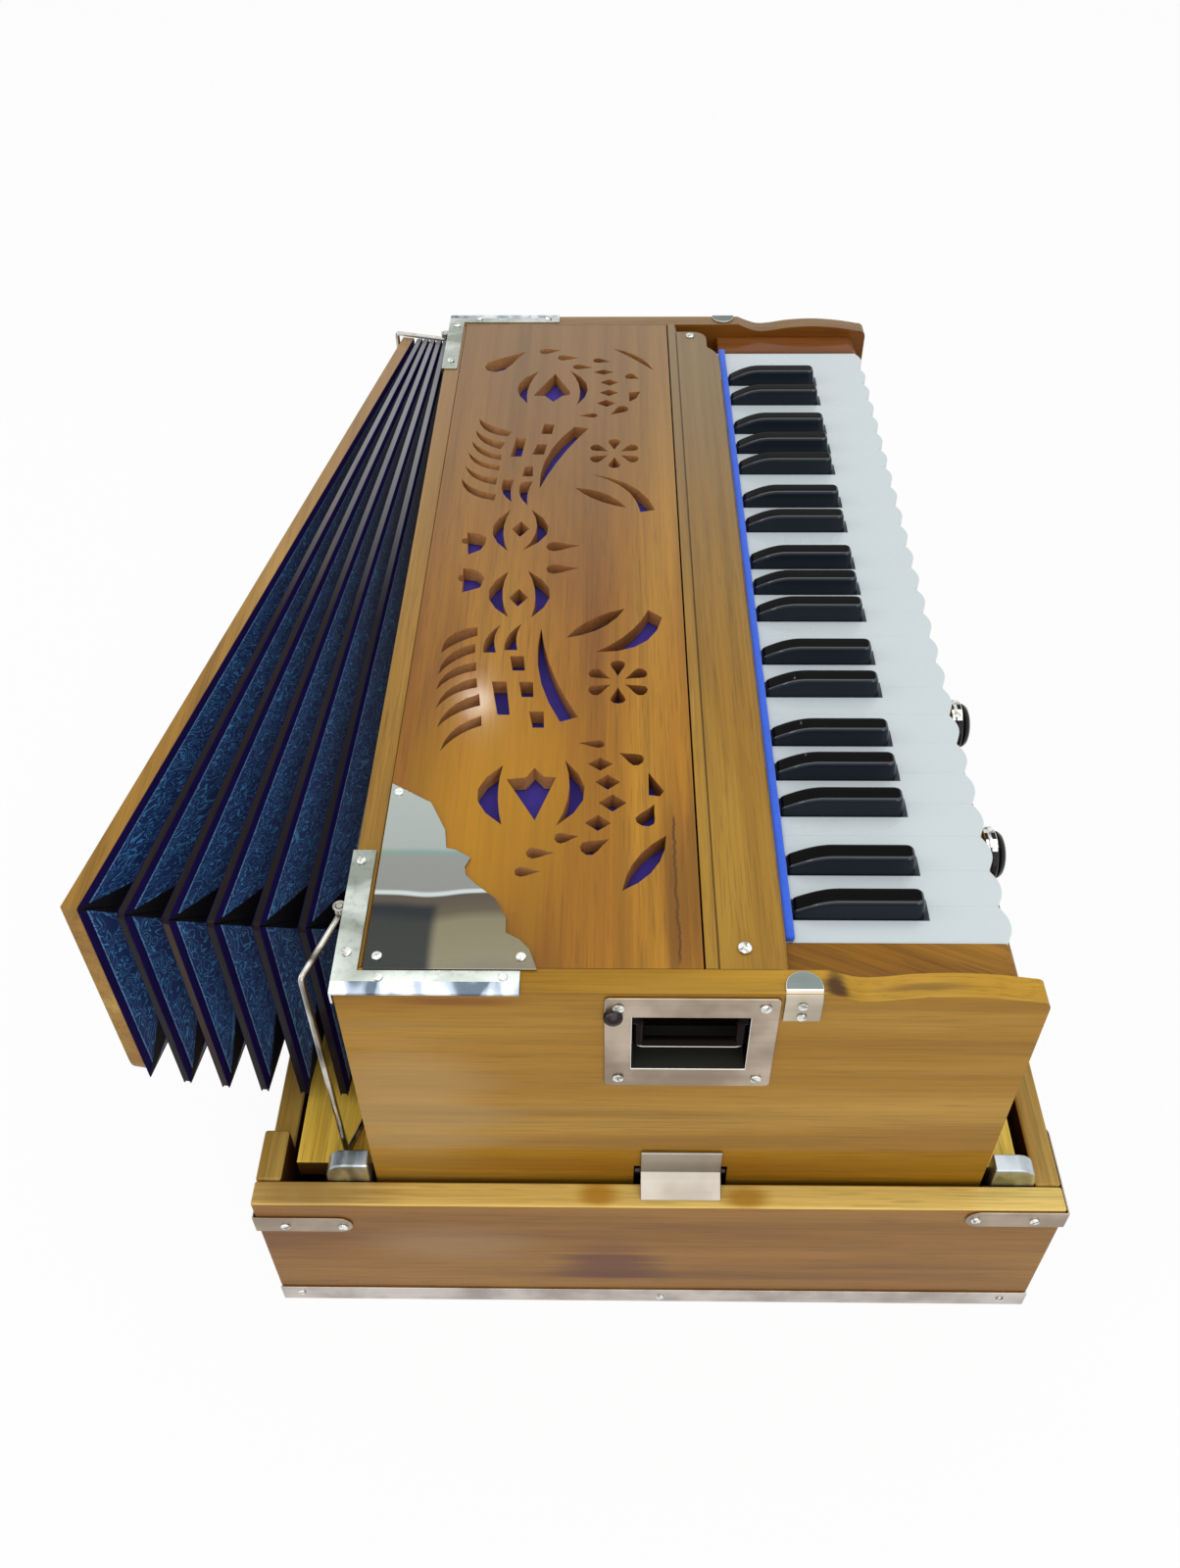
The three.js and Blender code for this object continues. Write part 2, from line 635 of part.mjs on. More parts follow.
function flowerPetals([u, v], half) {
  const petalShares = { inner: 0.03, outer: 0.118, width: 0.62, petals: 6 };
  const lengthRatio = panelWidth / boardY;
  return Array.from({ length: petalShares.petals }, (_, k) => {
    const angle = (k / petalShares.petals) * 2 * Math.PI + Math.PI / petalShares.petals;
    const [du, dv] = [Math.cos(angle), Math.sin(angle) * lengthRatio];
    const from = [u + du * petalShares.inner, v + dv * petalShares.inner];
    const to = [u + du * petalShares.outer, v + dv * petalShares.outer];
    return drop(from, to, petalShares.width, half);
  });
}

// The cuts of either half. A drop is its tail, its head and its width as a share of its length, a lens its
// two tips and two bulges, a blade its point, the ends of its blunt edge and the bows of its two sides, and a
// diamond its centre, half width and half length.
const CUTS = {
  near: {
    drops: [
      [[0.549, 0.774], [0.459, 0.775], 0.52],
      [[0.508, 0.813], [0.426, 0.814], 0.52],
      [[0.625, 0.738], [0.547, 0.744], 0.6],
      [[0.723, 0.744], [0.634, 0.771], 0.6],
      [[0.615, 0.522], [0.707, 0.525], 0.42],
      [[0.755, 0.546], [0.835, 0.569], 0.62],
      [[0.87, 0.667], [0.828, 0.715], 0.62],
      [[0.6, 0.021], [0.47, 0.025], 0.48],
    ],
    lenses: [
      [[0.905, 0.736], [0.763, 0.852], -0.111, 0.147],
      [[0.364, 0.577], [0.375, 0.714], -0.307, -0.054],
      [[0.573, 0.565], [0.55, 0.716], 0.265, 0.092],
      [[0.56, 0.238], [0.779, 0.15], 0.1, -0.13],
      [[0.323, 0.031], [0.338, 0.177], -0.269, -0.082],
      [[0.4, 0.03], [0.424, 0.178], 0.269, 0.075],
    ],
    blades: [
      [[0.465, 0.21], [0.55, 0.469], [0.612, 0.456], -0.077, -0.046],
      [[0.312, 0.199], [0.256, 0.281], [0.305, 0.281], -0.12, -0.095],
      [[0.391, 0.196], [0.333, 0.274], [0.383, 0.274], -0.115, -0.081],
      [[0.67, 0.279], [0.868, 0.154], [0.92, 0.177], -0.086, -0.221],
    ],
    combTeeth: [
      [[0.101, 0.282], [0.225, 0.205], [0.228, 0.232], 0.212, 0.064],
      [[0.102, 0.343], [0.223, 0.255], [0.227, 0.281], 0.172, 0.094],
      [[0.102, 0.385], [0.235, 0.308], [0.238, 0.332], 0.184, 0.112],
      [[0.111, 0.434], [0.241, 0.352], [0.248, 0.378], 0.164, 0.123],
      [[0.123, 0.484], [0.258, 0.396], [0.266, 0.427], 0.14, 0.099],
      [[0.145, 0.543], [0.274, 0.454], [0.278, 0.479], 0.145, 0.094],
    ],
    diamonds: [
      [[0.692, 0.573], 0.043, 0.016],
      [[0.717, 0.616], 0.042, 0.018],
      [[0.733, 0.664], 0.046, 0.02],
      [[0.686, 0.709], 0.043, 0.018],
      [[0.37, 0.116], 0.037, 0.028],
    ],
    polygons: [
      [[0.357, 0.291], [0.407, 0.291], [0.415, 0.332], [0.37, 0.332]],
      [[0.299, 0.362], [0.351, 0.362], [0.373, 0.451], [0.33, 0.451]],
      [[0.398, 0.363], [0.447, 0.363], [0.452, 0.404], [0.41, 0.404]],
      [[0.44, 0.442], [0.491, 0.442], [0.495, 0.484], [0.456, 0.484]],
      [[0.379, 0.61], [0.444, 0.606], [0.471, 0.583], [0.504, 0.604], [0.545, 0.605], [0.481, 0.704]],
      [
        [0.142, 0.021], [0.191, 0.026], [0.216, 0.038], [0.229, 0.054], [0.218, 0.084], [0.181, 0.093],
        [0.149, 0.1], [0.148, 0.066], [0.133, 0.062], [0.126, 0.053], [0.13, 0.045], [0.144, 0.042],
      ],
      [[0.853, 0.593], [0.903, 0.637], [0.888, 0.649], [0.852, 0.646]],
    ],
    flower: [0.752, 0.362],
  },
  far: {
    drops: [
      [[0.31, 0.863], [0.134, 0.769], 0.42],
      [[0.483, 0.87], [0.376, 0.861], 0.5],
      [[0.568, 0.829], [0.466, 0.833], 0.52],
      [[0.637, 0.783], [0.541, 0.788], 0.5],
      [[0.725, 0.811], [0.638, 0.82], 0.5],
      [[0.575, 0.561], [0.664, 0.562], 0.42],
      [[0.722, 0.564], [0.797, 0.6], 0.55],
      [[0.859, 0.728], [0.796, 0.747], 0.75],
      [[0.599, 0.055], [0.465, 0.051], 0.48],
    ],
    lenses: [
      [[0.733, 0.877], [0.925, 0.77], -0.13, -0.02],
      [[0.381, 0.766], [0.338, 0.616], 0.241, 0.07],
      [[0.528, 0.769], [0.567, 0.608], -0.209, -0.092],
      [[0.572, 0.265], [0.79, 0.19], -0.136, 0.089],
      [[0.309, 0.183], [0.312, 0.036], 0.239, 0.083],
      [[0.395, 0.183], [0.374, 0.04], -0.302, -0.132],
    ],
    blades: [
      [[0.422, 0.262], [0.561, 0.513], [0.623, 0.505], -0.086, -0.032],
      [[0.31, 0.211], [0.266, 0.299], [0.311, 0.299], -0.138, -0.057],
      [[0.377, 0.199], [0.342, 0.288], [0.392, 0.29], -0.119, -0.059],
      [[0.641, 0.317], [0.848, 0.174], [0.909, 0.182], -0.145, -0.154],
    ],
    combTeeth: [
      [[0.126, 0.547], [0.284, 0.492], [0.262, 0.471], 0.072, 0.19],
      [[0.117, 0.497], [0.258, 0.446], [0.237, 0.418], 0.102, 0.139],
      [[0.107, 0.451], [0.245, 0.396], [0.244, 0.373], 0.103, 0.159],
      [[0.097, 0.406], [0.241, 0.352], [0.242, 0.332], 0.126, 0.169],
      [[0.094, 0.35], [0.237, 0.304], [0.235, 0.276], 0.144, 0.158],
      [[0.085, 0.299], [0.241, 0.241], [0.235, 0.217], 0.126, 0.186],
    ],
    diamonds: [
      [[0.689, 0.761], 0.05, 0.012],
      [[0.717, 0.712], 0.044, 0.015],
      [[0.715, 0.664], 0.044, 0.015],
      [[0.703, 0.616], 0.044, 0.016],
      [[0.356, 0.113], 0.036, 0.028],
    ],
    polygons: [
      [[0.303, 0.467], [0.347, 0.466], [0.333, 0.388], [0.284, 0.388]],
      [[0.399, 0.438], [0.442, 0.438], [0.431, 0.396], [0.38, 0.396]],
      [[0.425, 0.525], [0.469, 0.523], [0.461, 0.481], [0.411, 0.482]],
      [[0.353, 0.348], [0.387, 0.349], [0.389, 0.309], [0.342, 0.309]],
      [
        [0.459, 0.754], [0.534, 0.667], [0.53, 0.653], [0.499, 0.65], [0.457, 0.623], [0.419, 0.649],
        [0.363, 0.651],
      ],
      [
        [0.14, 0.102], [0.193, 0.095], [0.22, 0.083], [0.218, 0.061], [0.202, 0.04], [0.154, 0.024],
        [0.147, 0.06], [0.128, 0.063], [0.12, 0.071], [0.124, 0.079], [0.143, 0.082],
      ],
      [[0.808, 0.665], [0.862, 0.67], [0.842, 0.639], [0.81, 0.623]],
    ],
    flower: [0.74, 0.401],
  },
};

function fretwork(end, half) {
  const { drops, lenses, blades, combTeeth, diamonds, polygons, flower } = CUTS[end];
  return [
    ...drops.map(([tail, head, width]) => drop(tail, head, width, half)),
    ...lenses.map(([a, b, left, right]) => lens(a, b, left, right, half)),
    ...[...blades, ...combTeeth].map(([a, b, c, left, right]) => blade(a, b, c, left, right, half)),
    ...diamonds.map(([centre, du, dv]) => diamond(centre, du, dv, half)),
    ...polygons.map((points) => polygon(points, half)),
    ...flowerPetals(flower, half),
  ];
}

// What the cover board lacks at its far end, right of its bead: a gap before the cheek and a shaped corner
function coverCorner(left) {
  const end = boardY - COVER_END_GAP;
  const corner = COVER_RIGHT - COVER_CORNER_IN;
  const slant = end - COVER_CORNER_LENGTH - COVER_SLANT_LENGTH;
  const shape = new THREE.Shape();
  shape.moveTo(left, boardY + OVERRUN);
  shape.lineTo(left, end);
  shape.lineTo(corner - COVER_CORNER_ROUND, end);
  shape.quadraticCurveTo(corner, end, corner, end - COVER_CORNER_ROUND);
  shape.lineTo(corner, end - COVER_CORNER_LENGTH);
  shape.quadraticCurveTo(COVER_RIGHT, slant + COVER_SLANT_LENGTH / 2, COVER_RIGHT, slant);
  shape.lineTo(COVER_RIGHT + OVERRUN, slant);
  shape.lineTo(COVER_RIGHT + OVERRUN, boardY + OVERRUN);
  shape.closePath();
  return upright(shape, coverBottom - OVERRUN, caseTop + OVERRUN, 8);
}

function buildTop() {
  const panel = block(panelLeft, PANEL_RIGHT, -boardY, boardY, panelBottom, caseTop);
  const shapes = [...fretwork("near", 1), ...fretwork("far", -1)];
  const cutters = shapes.map((shape) => upright(shape, panelBottom - OVERRUN, caseTop + OVERRUN, 5));
  place(keyCase, "fret_panel", cut(panel, ...cutters), frettedWood);

  const clothTop = panelBottom - FIT;
  const cloth = block(panelLeft, PANEL_RIGHT, -boardY, boardY, clothTop - CLOTH_THICKNESS, clothTop);
  place(keyCase, "fret_cloth", cloth, bluePurpleCloth);

  const profile = new THREE.Shape();
  const grooveLeft = coverLeft + BEAD_WIDTH;
  profile.moveTo(coverLeft, coverBottom);
  profile.lineTo(COVER_RIGHT, coverBottom);
  profile.lineTo(COVER_RIGHT, caseTop - COVER_ROUND);
  profile.quadraticCurveTo(COVER_RIGHT, caseTop, COVER_RIGHT - COVER_ROUND, caseTop);
  profile.lineTo(grooveLeft + PANEL_GROOVE, caseTop);
  profile.lineTo(grooveLeft + PANEL_GROOVE, caseTop - 2 * PANEL_GROOVE);
  profile.lineTo(grooveLeft, caseTop - 2 * PANEL_GROOVE);
  profile.lineTo(grooveLeft, caseTop);
  profile.quadraticCurveTo(coverLeft + BEAD_WIDTH / 2, caseTop + PANEL_GROOVE, coverLeft, caseTop);
  profile.closePath();
  const cover = acrossY(profile, -boardY, boardY);
  place(keyCase, "cover_board", cut(cover, coverCorner(grooveLeft + PANEL_GROOVE)), teak);

  const feltLeft = COVER_RIGHT + FIT;
  const feltLow = keyTop + FIT;
  const felt = block(feltLeft, feltLeft + FELT_WIDTH, -keyboardY, keyboardY, feltLow, feltLow + FELT_HEIGHT);
  place(keyCase, "key_felt", felt, blueFelt);
}

// Keys. Each note name is one lever group: its keys an octave apart, tied by a coupler rod over their tails.
const NOTES = [
  { name: "c", white: 0 },
  { name: "c_sharp", black: 0, offsetShare: -NARROW_OFFSET_SHARE },
  { name: "d", white: 1 },
  { name: "d_sharp", black: 1, offsetShare: NARROW_OFFSET_SHARE },
  { name: "e", white: 2 },
  { name: "f", white: 3 },
  { name: "f_sharp", black: 3, offsetShare: -WIDE_OFFSET_SHARE },
  { name: "g", white: 4 },
  { name: "g_sharp", black: 4, offsetShare: 0 },
  { name: "a", white: 5 },
  { name: "a_sharp", black: 5, offsetShare: WIDE_OFFSET_SHARE },
  { name: "b", white: 6 },
];
const isBlack = (note) => note.black !== undefined;
const NOTES_IN_OCTAVE = NOTES.filter((note) => !isBlack(note)).length;
const octaves = Math.ceil(WHITE_KEYS / NOTES_IN_OCTAVE);
const whiteLow = (index) => -keyboardY + index * keyPitch;
const blackMiddle = (note, octave) =>
  whiteLow(octave * NOTES_IN_OCTAVE + note.black + 1) + note.offsetShare * keyPitch;

function blackPlaces() {
  const places = [];
  for (const note of NOTES.filter(isBlack))
    for (let octave = 0; octave < octaves; octave += 1)
      if (octave * NOTES_IN_OCTAVE + note.black + 1 < WHITE_KEYS) places.push(blackMiddle(note, octave));
  return places;
}

// The span in Y that is left for a white key beside the black keys next to it
function whiteRear(low) {
  let [from, to] = [low + KEY_GAP / 2, low + keyPitch - KEY_GAP / 2];
  for (const y of blackPlaces()) {
    const [edgeLow, edgeHigh] = [y - blackWidth / 2 - KEY_GAP, y + blackWidth / 2 + KEY_GAP];
    if (y > low + keyPitch / 2 && edgeLow < to) to = Math.min(to, edgeLow);
    if (y < low + keyPitch / 2 && edgeHigh > from) from = Math.max(from, edgeHigh);
  }
  return [from, to];
}

function whiteTop(low) {
  const [rearLow, rearHigh] = whiteRear(low);
  const [frontLow, frontHigh] = [low + KEY_GAP / 2, low + keyPitch - KEY_GAP / 2];
  const neck = BLACK_FRONT + NECK_GAP;
  const shape = new THREE.Shape();
  shape.moveTo(KEY_REAR, rearLow);
  shape.lineTo(neck, rearLow);
  shape.lineTo(neck, frontLow);
  shape.lineTo(KEY_FRONT, frontLow);
  shape.quadraticCurveTo(KEY_FRONT + 2 * SCALLOP, (frontLow + frontHigh) / 2, KEY_FRONT, frontHigh);
  shape.lineTo(neck, frontHigh);
  shape.lineTo(neck, rearHigh);
  shape.lineTo(KEY_REAR, rearHigh);
  shape.closePath();
  return upright(shape, keyTop - KEY_HEIGHT, keyTop, 8);
}

// A black key's raised part, narrower at its top, low at the rear and round at the nose
function blackTop(middle) {
  const base = keyTop - COUPLER;
  const top = keyTop + BLACK_RISE;
  const shape = new THREE.Shape();
  shape.moveTo(BLACK_REAR, base);
  shape.lineTo(BLACK_FRONT, base);
  shape.lineTo(BLACK_FRONT, top - BLACK_NOSE);
  shape.quadraticCurveTo(BLACK_FRONT, top, BLACK_FRONT - BLACK_NOSE, top);
  shape.lineTo(BLACK_REAR + 3 * BLACK_NOSE, top);
  shape.quadraticCurveTo(BLACK_REAR + BLACK_NOSE, top, BLACK_REAR, keyTop + BLACK_REAR_RISE);
  shape.closePath();
  const geometry = acrossY(shape, -blackWidth / 2, blackWidth / 2, 5);
  const position = geometry.attributes.position;
  for (let i = 0; i < position.count; i += 1) {
    const rise = Math.max(0, (position.getZ(i) - keyTop) / BLACK_RISE);
    const narrow = 1 - rise * (1 - BLACK_TOP_SHARE);
    position.setY(i, position.getY(i) * narrow + middle);
  }
  return geometry;
}

// The wooden lever under a key: front arm, seat on the balance rail, and tail over the reeds
function lever(keyWidth, middle) {
  const half = keyWidth / 2 - LEVER_INSET;
  const front = BLACK_FRONT - LEVER_INSET;
  const armBottom = keyTop - KEY_HEIGHT;
  const seat = PARTITION / 2;
  const arm = [
    [KEY_REAR - PARTITION, pivotZ],
    [PIVOT_X + seat, pivotZ],
    [PIVOT_X + 2 * PARTITION, armBottom],
    [front, armBottom],
    [front, keyTop - KEY_GAP],
    [KEY_REAR - seat, keyTop - KEY_GAP],
    [PIVOT_X - seat, tailBottom + TAIL_HEIGHT],
    [PIVOT_X - seat, pivotZ],
  ];
  const tail = [
    [TAIL_END, tailBottom],
    [TAIL_END, tailBottom + TAIL_HEIGHT],
    [PIVOT_X, tailBottom + TAIL_HEIGHT],
    [PIVOT_X, pivotZ],
    [PIVOT_X - seat, pivotZ],
    [PIVOT_X - 2 * seat, tailBottom],
  ];
  const pallet = block(
    TAIL_END, TAIL_END + PALLET_LENGTH,
    middle - palletWidth / 2, middle + palletWidth / 2,
    tailBottom, tailBottom + PALLET_HEIGHT,
  );
  return join(
    acrossY(arm, middle - half, middle + half),
    acrossY(tail, middle - tailWidth / 2, middle + tailWidth / 2),
    pallet,
  );
}

function whiteKeyAt(low) {
  const [rearLow, rearHigh] = whiteRear(low);
  const middle = (rearLow + rearHigh) / 2;
  return { middle, shape: join(whiteTop(low), lever(rearHigh - rearLow, middle)) };
}

function blackKeyAt(middle) {
  return { middle, shape: join(blackTop(middle), lever(blackWidth, middle)) };
}

// The rod that ties one note's tails together, high enough to clear the other tails as they rise
function coupler(index, middles) {
  const x = PIVOT_X - 2 * PARTITION - index * COUPLER_PITCH;
  const rise = (PIVOT_X - x) * Math.tan(keyDip);
  const tailTop = tailBottom + TAIL_HEIGHT;
  const bottom = tailTop + rise + COUPLER_GAP;
  const top = bottom + COUPLER;
  const foot = tailTop - COUPLER;
  const half = COUPLER / 2;
  const underside = middles
    .map((y) => [[y - half, bottom], [y - half, foot], [y + half, foot], [y + half, bottom]])
    .flat()
    .slice(1, -1);
  const outline = [...underside, [middles.at(-1) + half, top], [middles[0] - half, top]];
  return acrossX(outline, x - half, x + half);
}

function keysOf(note) {
  const keys = [];
  for (let octave = 0; octave < octaves; octave += 1) {
    const index = octave * NOTES_IN_OCTAVE + (isBlack(note) ? note.black + 1 : note.white);
    if (index >= WHITE_KEYS) continue;
    keys.push(isBlack(note) ? blackKeyAt(blackMiddle(note, octave)) : whiteKeyAt(whiteLow(index)));
  }
  return keys;
}

function buildKeys() {
  NOTES.forEach((note, index) => {
    const keys = keysOf(note);
    const tie = coupler(index, keys.map((key) => key.middle));
    const levers = join(tie, ...keys.map((key) => key.shape));
    place(keyCase, `keys_${note.name}`, levers, isBlack(note) ? blackKey : whiteKey);
  });
}

// The middles of all tails from bass to treble
function tailMiddles() {
  return NOTES.flatMap((note) => keysOf(note).map((key) => key.middle)).sort((a, b) => a - b);
}

function buildReeds() {
  const middles = tailMiddles();
  const slotX = TAIL_END + PALLET_LENGTH / 2;
  const right = PIVOT_X - PARTITION / 2 - FIT;
  const board = block(backIn + FIT, right, -frameY, frameY, reedBottom, reedTop);
  const slots = middles.map((y) =>
    block(
      slotX - REED_SLOT_LENGTH / 2, slotX + REED_SLOT_LENGTH / 2,
      y - reedSlotWidth / 2, y + reedSlotWidth / 2,
      reedBottom - OVERRUN, reedTop + OVERRUN,
    ),
  );
  place(keyCase, "reed_board", cut(board, ...slots), innerWood);

  const plateTop = reedBottom - FIT;
  const plateBottom = plateTop - REED_PLATE;
  const halfWidth = REED_PLATE_WIDTH / 2;
  const plate = block(slotX - halfWidth, slotX + halfWidth, -keyboardY, keyboardY, plateBottom, plateTop);
  const tongues = middles.map((y, k) => {
    const length = THREE.MathUtils.lerp(REED_LONGEST, REED_SHORTEST, k / (middles.length - 1));
    return block(
      slotX - length / 2, slotX + length / 2,
      y - reedWidth / 2, y + reedWidth / 2,
      plateBottom - REED_THICKNESS, plateBottom + REED_THICKNESS,
    );
  });
  place(keyCase, "reed_plate", join(plate, ...tongues), brass);
}

// Stops
function stopPlaces() {
  return Array.from({ length: STOPS }, (_, k) => (k - (STOPS - 1) / 2) * STOP_SPACING);
}

function buildStops() {
  const back = caseFront + FIT - STOP_ROD_LENGTH;
  const ferrule = caseFront + FIT;
  const neck = ferrule + STOP_FERRULE_LENGTH;
  const nose = neck + STOP_KNOB_LENGTH;
  const profile = [
    [0, back],
    [STOP_ROD_RADIUS, back],
    [STOP_ROD_RADIUS, ferrule],
    [STOP_FERRULE_RADIUS, ferrule],
    [STOP_FERRULE_RADIUS, neck],
    [STOP_NECK_RADIUS, neck],
    [STOP_KNOB_RADIUS, (neck + nose) / 2],
    [STOP_NECK_RADIUS, nose],
    [0, nose],
  ];
  const points = profile.map(([radius, x]) => new THREE.Vector2(radius, x));
  stopPlaces().forEach((y, k) => {
    const drawn = k < STOPS_DRAWN ? STOP_TRAVEL : 0;
    const knob = new THREE.LatheGeometry(points, 20).rotateZ(-Math.PI / 2).translate(drawn, y, stopZ);
    place(keyCase, `stop_${k + 1}`, solid(knob), stopBlack);
  });
}

// Corner brackets, corner plate and lid clips
function buildBracket(end, side, eyeY) {
  const low = caseTop + FIT;
  const high = low + PLATE;
  const faceX = -caseBack - FIT;
  const faceY = side * (caseY + FIT);
  const [edgeX, edgeY] = [faceX - PLATE, faceY + side * PLATE];
  const armX = faceX + BRACKET_LENGTH_X;
  const armY = faceY - side * BRACKET_LENGTH_Y;
  const innerY = side * (cheekIn + CORNER_PLATE_OVERLAP);
  const eyeX = -caseBack - BAIL_AXIS_OUT;
  const eyeLow = bailTop + WIRE_RADIUS + FIT;
  const plate = join(
    block(edgeX, armX, edgeY, innerY, low, high),
    block(edgeX, edgeX + BRACKET_ARM, edgeY, armY, low, high),
    block(edgeX, armX, edgeY, faceY, caseTop - BRACKET_END_LIP, high),
    block(edgeX, faceX, edgeY, armY, caseTop - BRACKET_BACK_LIP, high),
    rod([eyeX, eyeY, eyeLow], [eyeX, eyeY, eyeLow + EYE_HEIGHT], EYE_RADIUS),
  );
  const bore = rod([eyeX, eyeY, eyeLow - OVERRUN], [eyeX, eyeY, high + OVERRUN], WIRE_RADIUS + FIT);
  place(keyCase, `corner_bracket_${end}`, cut(plate, bore), chrome);
}

// A mirror plate with a scalloped edge on the near left corner of the panel
function buildCornerPlate() {
  const edgeShare = [
    [0, 1],
    [0.272, 0.883],
    [0.381, 0.724],
    [0.401, 0.624],
    [0.462, 0.613],
    [0.557, 0.571],
    [0.528, 0.518],
    [0.539, 0.476],
    [0.603, 0.429],
    [0.729, 0.352],
    [0.802, 0.253],
    [0.807, 0.179],
    [0.89, 0.146],
    [0.95, 0.098],
    [1, 0],
  ];
  const nearEdge = FIT - boardY - CORNER_PLATE_OVERLAP;
  const outline = edgeShare.map(([a, b]) => [
    panelLeft + FIT + a * CORNER_PLATE_WIDTH,
    nearEdge + b * CORNER_PLATE_LENGTH,
  ]);
  outline.push([panelLeft + FIT, nearEdge]);
  const low = caseTop + FIT;
  place(keyCase, "corner_plate", upright(outline, low, low + PLATE), chrome);
}

function buildClip(end, side) {
  const halfWidth = CLIP_WIDTH / 2;
  const [left, right] = [clipX - halfWidth, clipX + halfWidth];
  const low = caseTop + FIT;
  const high = low + CLIP_THICKNESS;
  const face = side * (caseY + FIT);
  const outer = face + side * CLIP_THICKNESS;
  const reach = side * (caseY - CLIP_REACH + halfWidth);
  const clip = join(
    block(left, right, face, outer, caseTop - CLIP_DROP, high),
    block(left, right, outer, reach, low, high),
    rod([clipX, reach, low], [clipX, reach, high], halfWidth, 20),
  );
  const beyond = block(
    left - OVERRUN, right + OVERRUN,
    outer, outer + side * CLIP_WIDTH,
    low - OVERRUN, high + OVERRUN,
  );
  place(keyCase, `lid_clip_${end}`, cut(clip, beyond), steel);
}

// Recessed handles
function buildHandle(end, side) {
  const along = (depth) => side * (caseY - depth); // from the cheek's face inwards
  const halfPlate = HANDLE_PLATE_WIDTH / 2;
  const halfMouth = HANDLE_MOUTH_WIDTH / 2;
  const plateUp = HANDLE_PLATE_HEIGHT / 2;
  const mouthUp = HANDLE_MOUTH_HEIGHT / 2;
  const [x, z] = [HANDLE_CENTRE_X, handleZ];
  const box = (w, h, from, to) => block(x - w, x + w, along(from), along(to), z - h, z + h);
  const wall = HANDLE_CUP_WALL;
  const plate = box(halfPlate, plateUp, -FIT, -FIT - PLATE);
  const cup = box(halfMouth + wall, mouthUp + wall, -FIT - PLATE / 2, HANDLE_CUP_DEPTH);
  const room = box(halfMouth, mouthUp, -OVERRUN, HANDLE_CUP_DEPTH - wall);
  place(keyCase, `handle_cup_${end}`, cut(join(plate, cup), room), steel);

  const halfGrip = halfMouth - FIT;
  const axis = [along(HANDLE_AXIS_IN), handleAxisZ];
  const bar = handleAxisZ - HANDLE_DROP;
  const arms = [-1, 1].map((k) => {
    const armX = x + k * (halfGrip - HANDLE_BAR_RADIUS);
    return join(
      rod([armX, axis[0], axis[1]], [armX, axis[0], bar], HANDLE_BAR_RADIUS),
      rod([armX - HANDLE_BAR_RADIUS, ...axis], [armX + HANDLE_BAR_RADIUS, ...axis], 1.2 * HANDLE_BAR_RADIUS),
    );
  });
  const grip = rod([x - halfGrip, axis[0], bar], [x + halfGrip, axis[0], bar], HANDLE_BAR_RADIUS);
  place(keyCase, `handle_${end}`, join(grip, ...arms), blackMetal);
}

// Support flaps: a bent plate on a pin, its lip standing on the tray's rim
function buildFlap(end, side) {
  const y = (out) => side * (caseY - FLAP_PIN_IN + out);
  const leafIn = FLAP_PIN_IN + FIT;
  const leafOut = leafIn + FLAP_THICKNESS;
  const lipTop = TRAY_HEIGHT + FIT + FLAP_THICKNESS;
  const outline = [
    [y(leafIn), flapPinZ + FLAP_LEAF_UP],
    [y(leafOut), flapPinZ + FLAP_LEAF_UP],
    [y(leafOut), flapPinZ + FLAP_BEND_UP],
    [y(FLAP_LIP_OUT), lipTop],
    [y(FLAP_LIP_OUT + FLAP_THICKNESS), lipTop - FLAP_LIP_DOWN],
    [y(FLAP_LIP_OUT), lipTop - FLAP_THICKNESS],
    [y(leafOut + FIT), flapPinZ + FLAP_BEND_UP - 2 * FLAP_THICKNESS],
    [y(FLAP_PIN_RADIUS), flapPinZ],
    [y(0), flapPinZ],
    [y(0), flapPinZ + FLAP_PIN_RADIUS],
    [y(leafIn), flapPinZ + FLAP_BEND_UP - FIT],
  ];
  const half = FLAP_WIDTH / 2;
  const pinHalf = half + FLAP_POCKET_SIDE - FIT;
  const plate = acrossX(outline, FLAP_CENTRE_X - half, FLAP_CENTRE_X + half);
  const pinEnds = [-pinHalf, pinHalf].map((reach) => [FLAP_CENTRE_X + reach, y(0), flapPinZ]);
  const pin = rod(...pinEnds, FLAP_PIN_RADIUS);
  place(keyCase, `flap_${end}`, join(plate, pin), steel);
}

// Wire bails that hold the shut bellows at either end
function buildBail(end, axisY, degrees, side) {
  const x = -caseBack - BAIL_AXIS_OUT;
  const angle = THREE.MathUtils.degToRad(degrees);
  const reachX = x - BAIL_RADIUS * Math.cos(angle);
  const reachY = axisY + side * BAIL_RADIUS * Math.sin(angle);
  const eyeTop = bailTop + WIRE_RADIUS + FIT + EYE_HEIGHT;
  const corner = (z) => new THREE.SphereGeometry(WIRE_RADIUS, 10, 6).translate(reachX, reachY, z);
  const hub = (z) => new THREE.SphereGeometry(WIRE_RADIUS, 10, 6).translate(x, axisY, z);
  const wire = join(
    rod([x, axisY, bailTop], [x, axisY, eyeTop], WIRE_RADIUS, 10),
    rod([x, axisY, bailTop], [reachX, reachY, bailTop], WIRE_RADIUS, 10),
    rod([reachX, reachY, bailTop], [reachX, reachY, bailBottom], WIRE_RADIUS, 10),
    rod([reachX, reachY, bailBottom], [x, axisY, bailBottom], WIRE_RADIUS, 10),
    rod([x, axisY, baseTop - BAIL_PIN_DEPTH], [x, axisY, bailBottom], WIRE_RADIUS, 10),
    corner(bailTop),
    corner(bailBottom),
    hub(bailTop),
    hub(bailBottom),
  );
  place(keyCase, `bail_${end}`, wire, chrome);
}

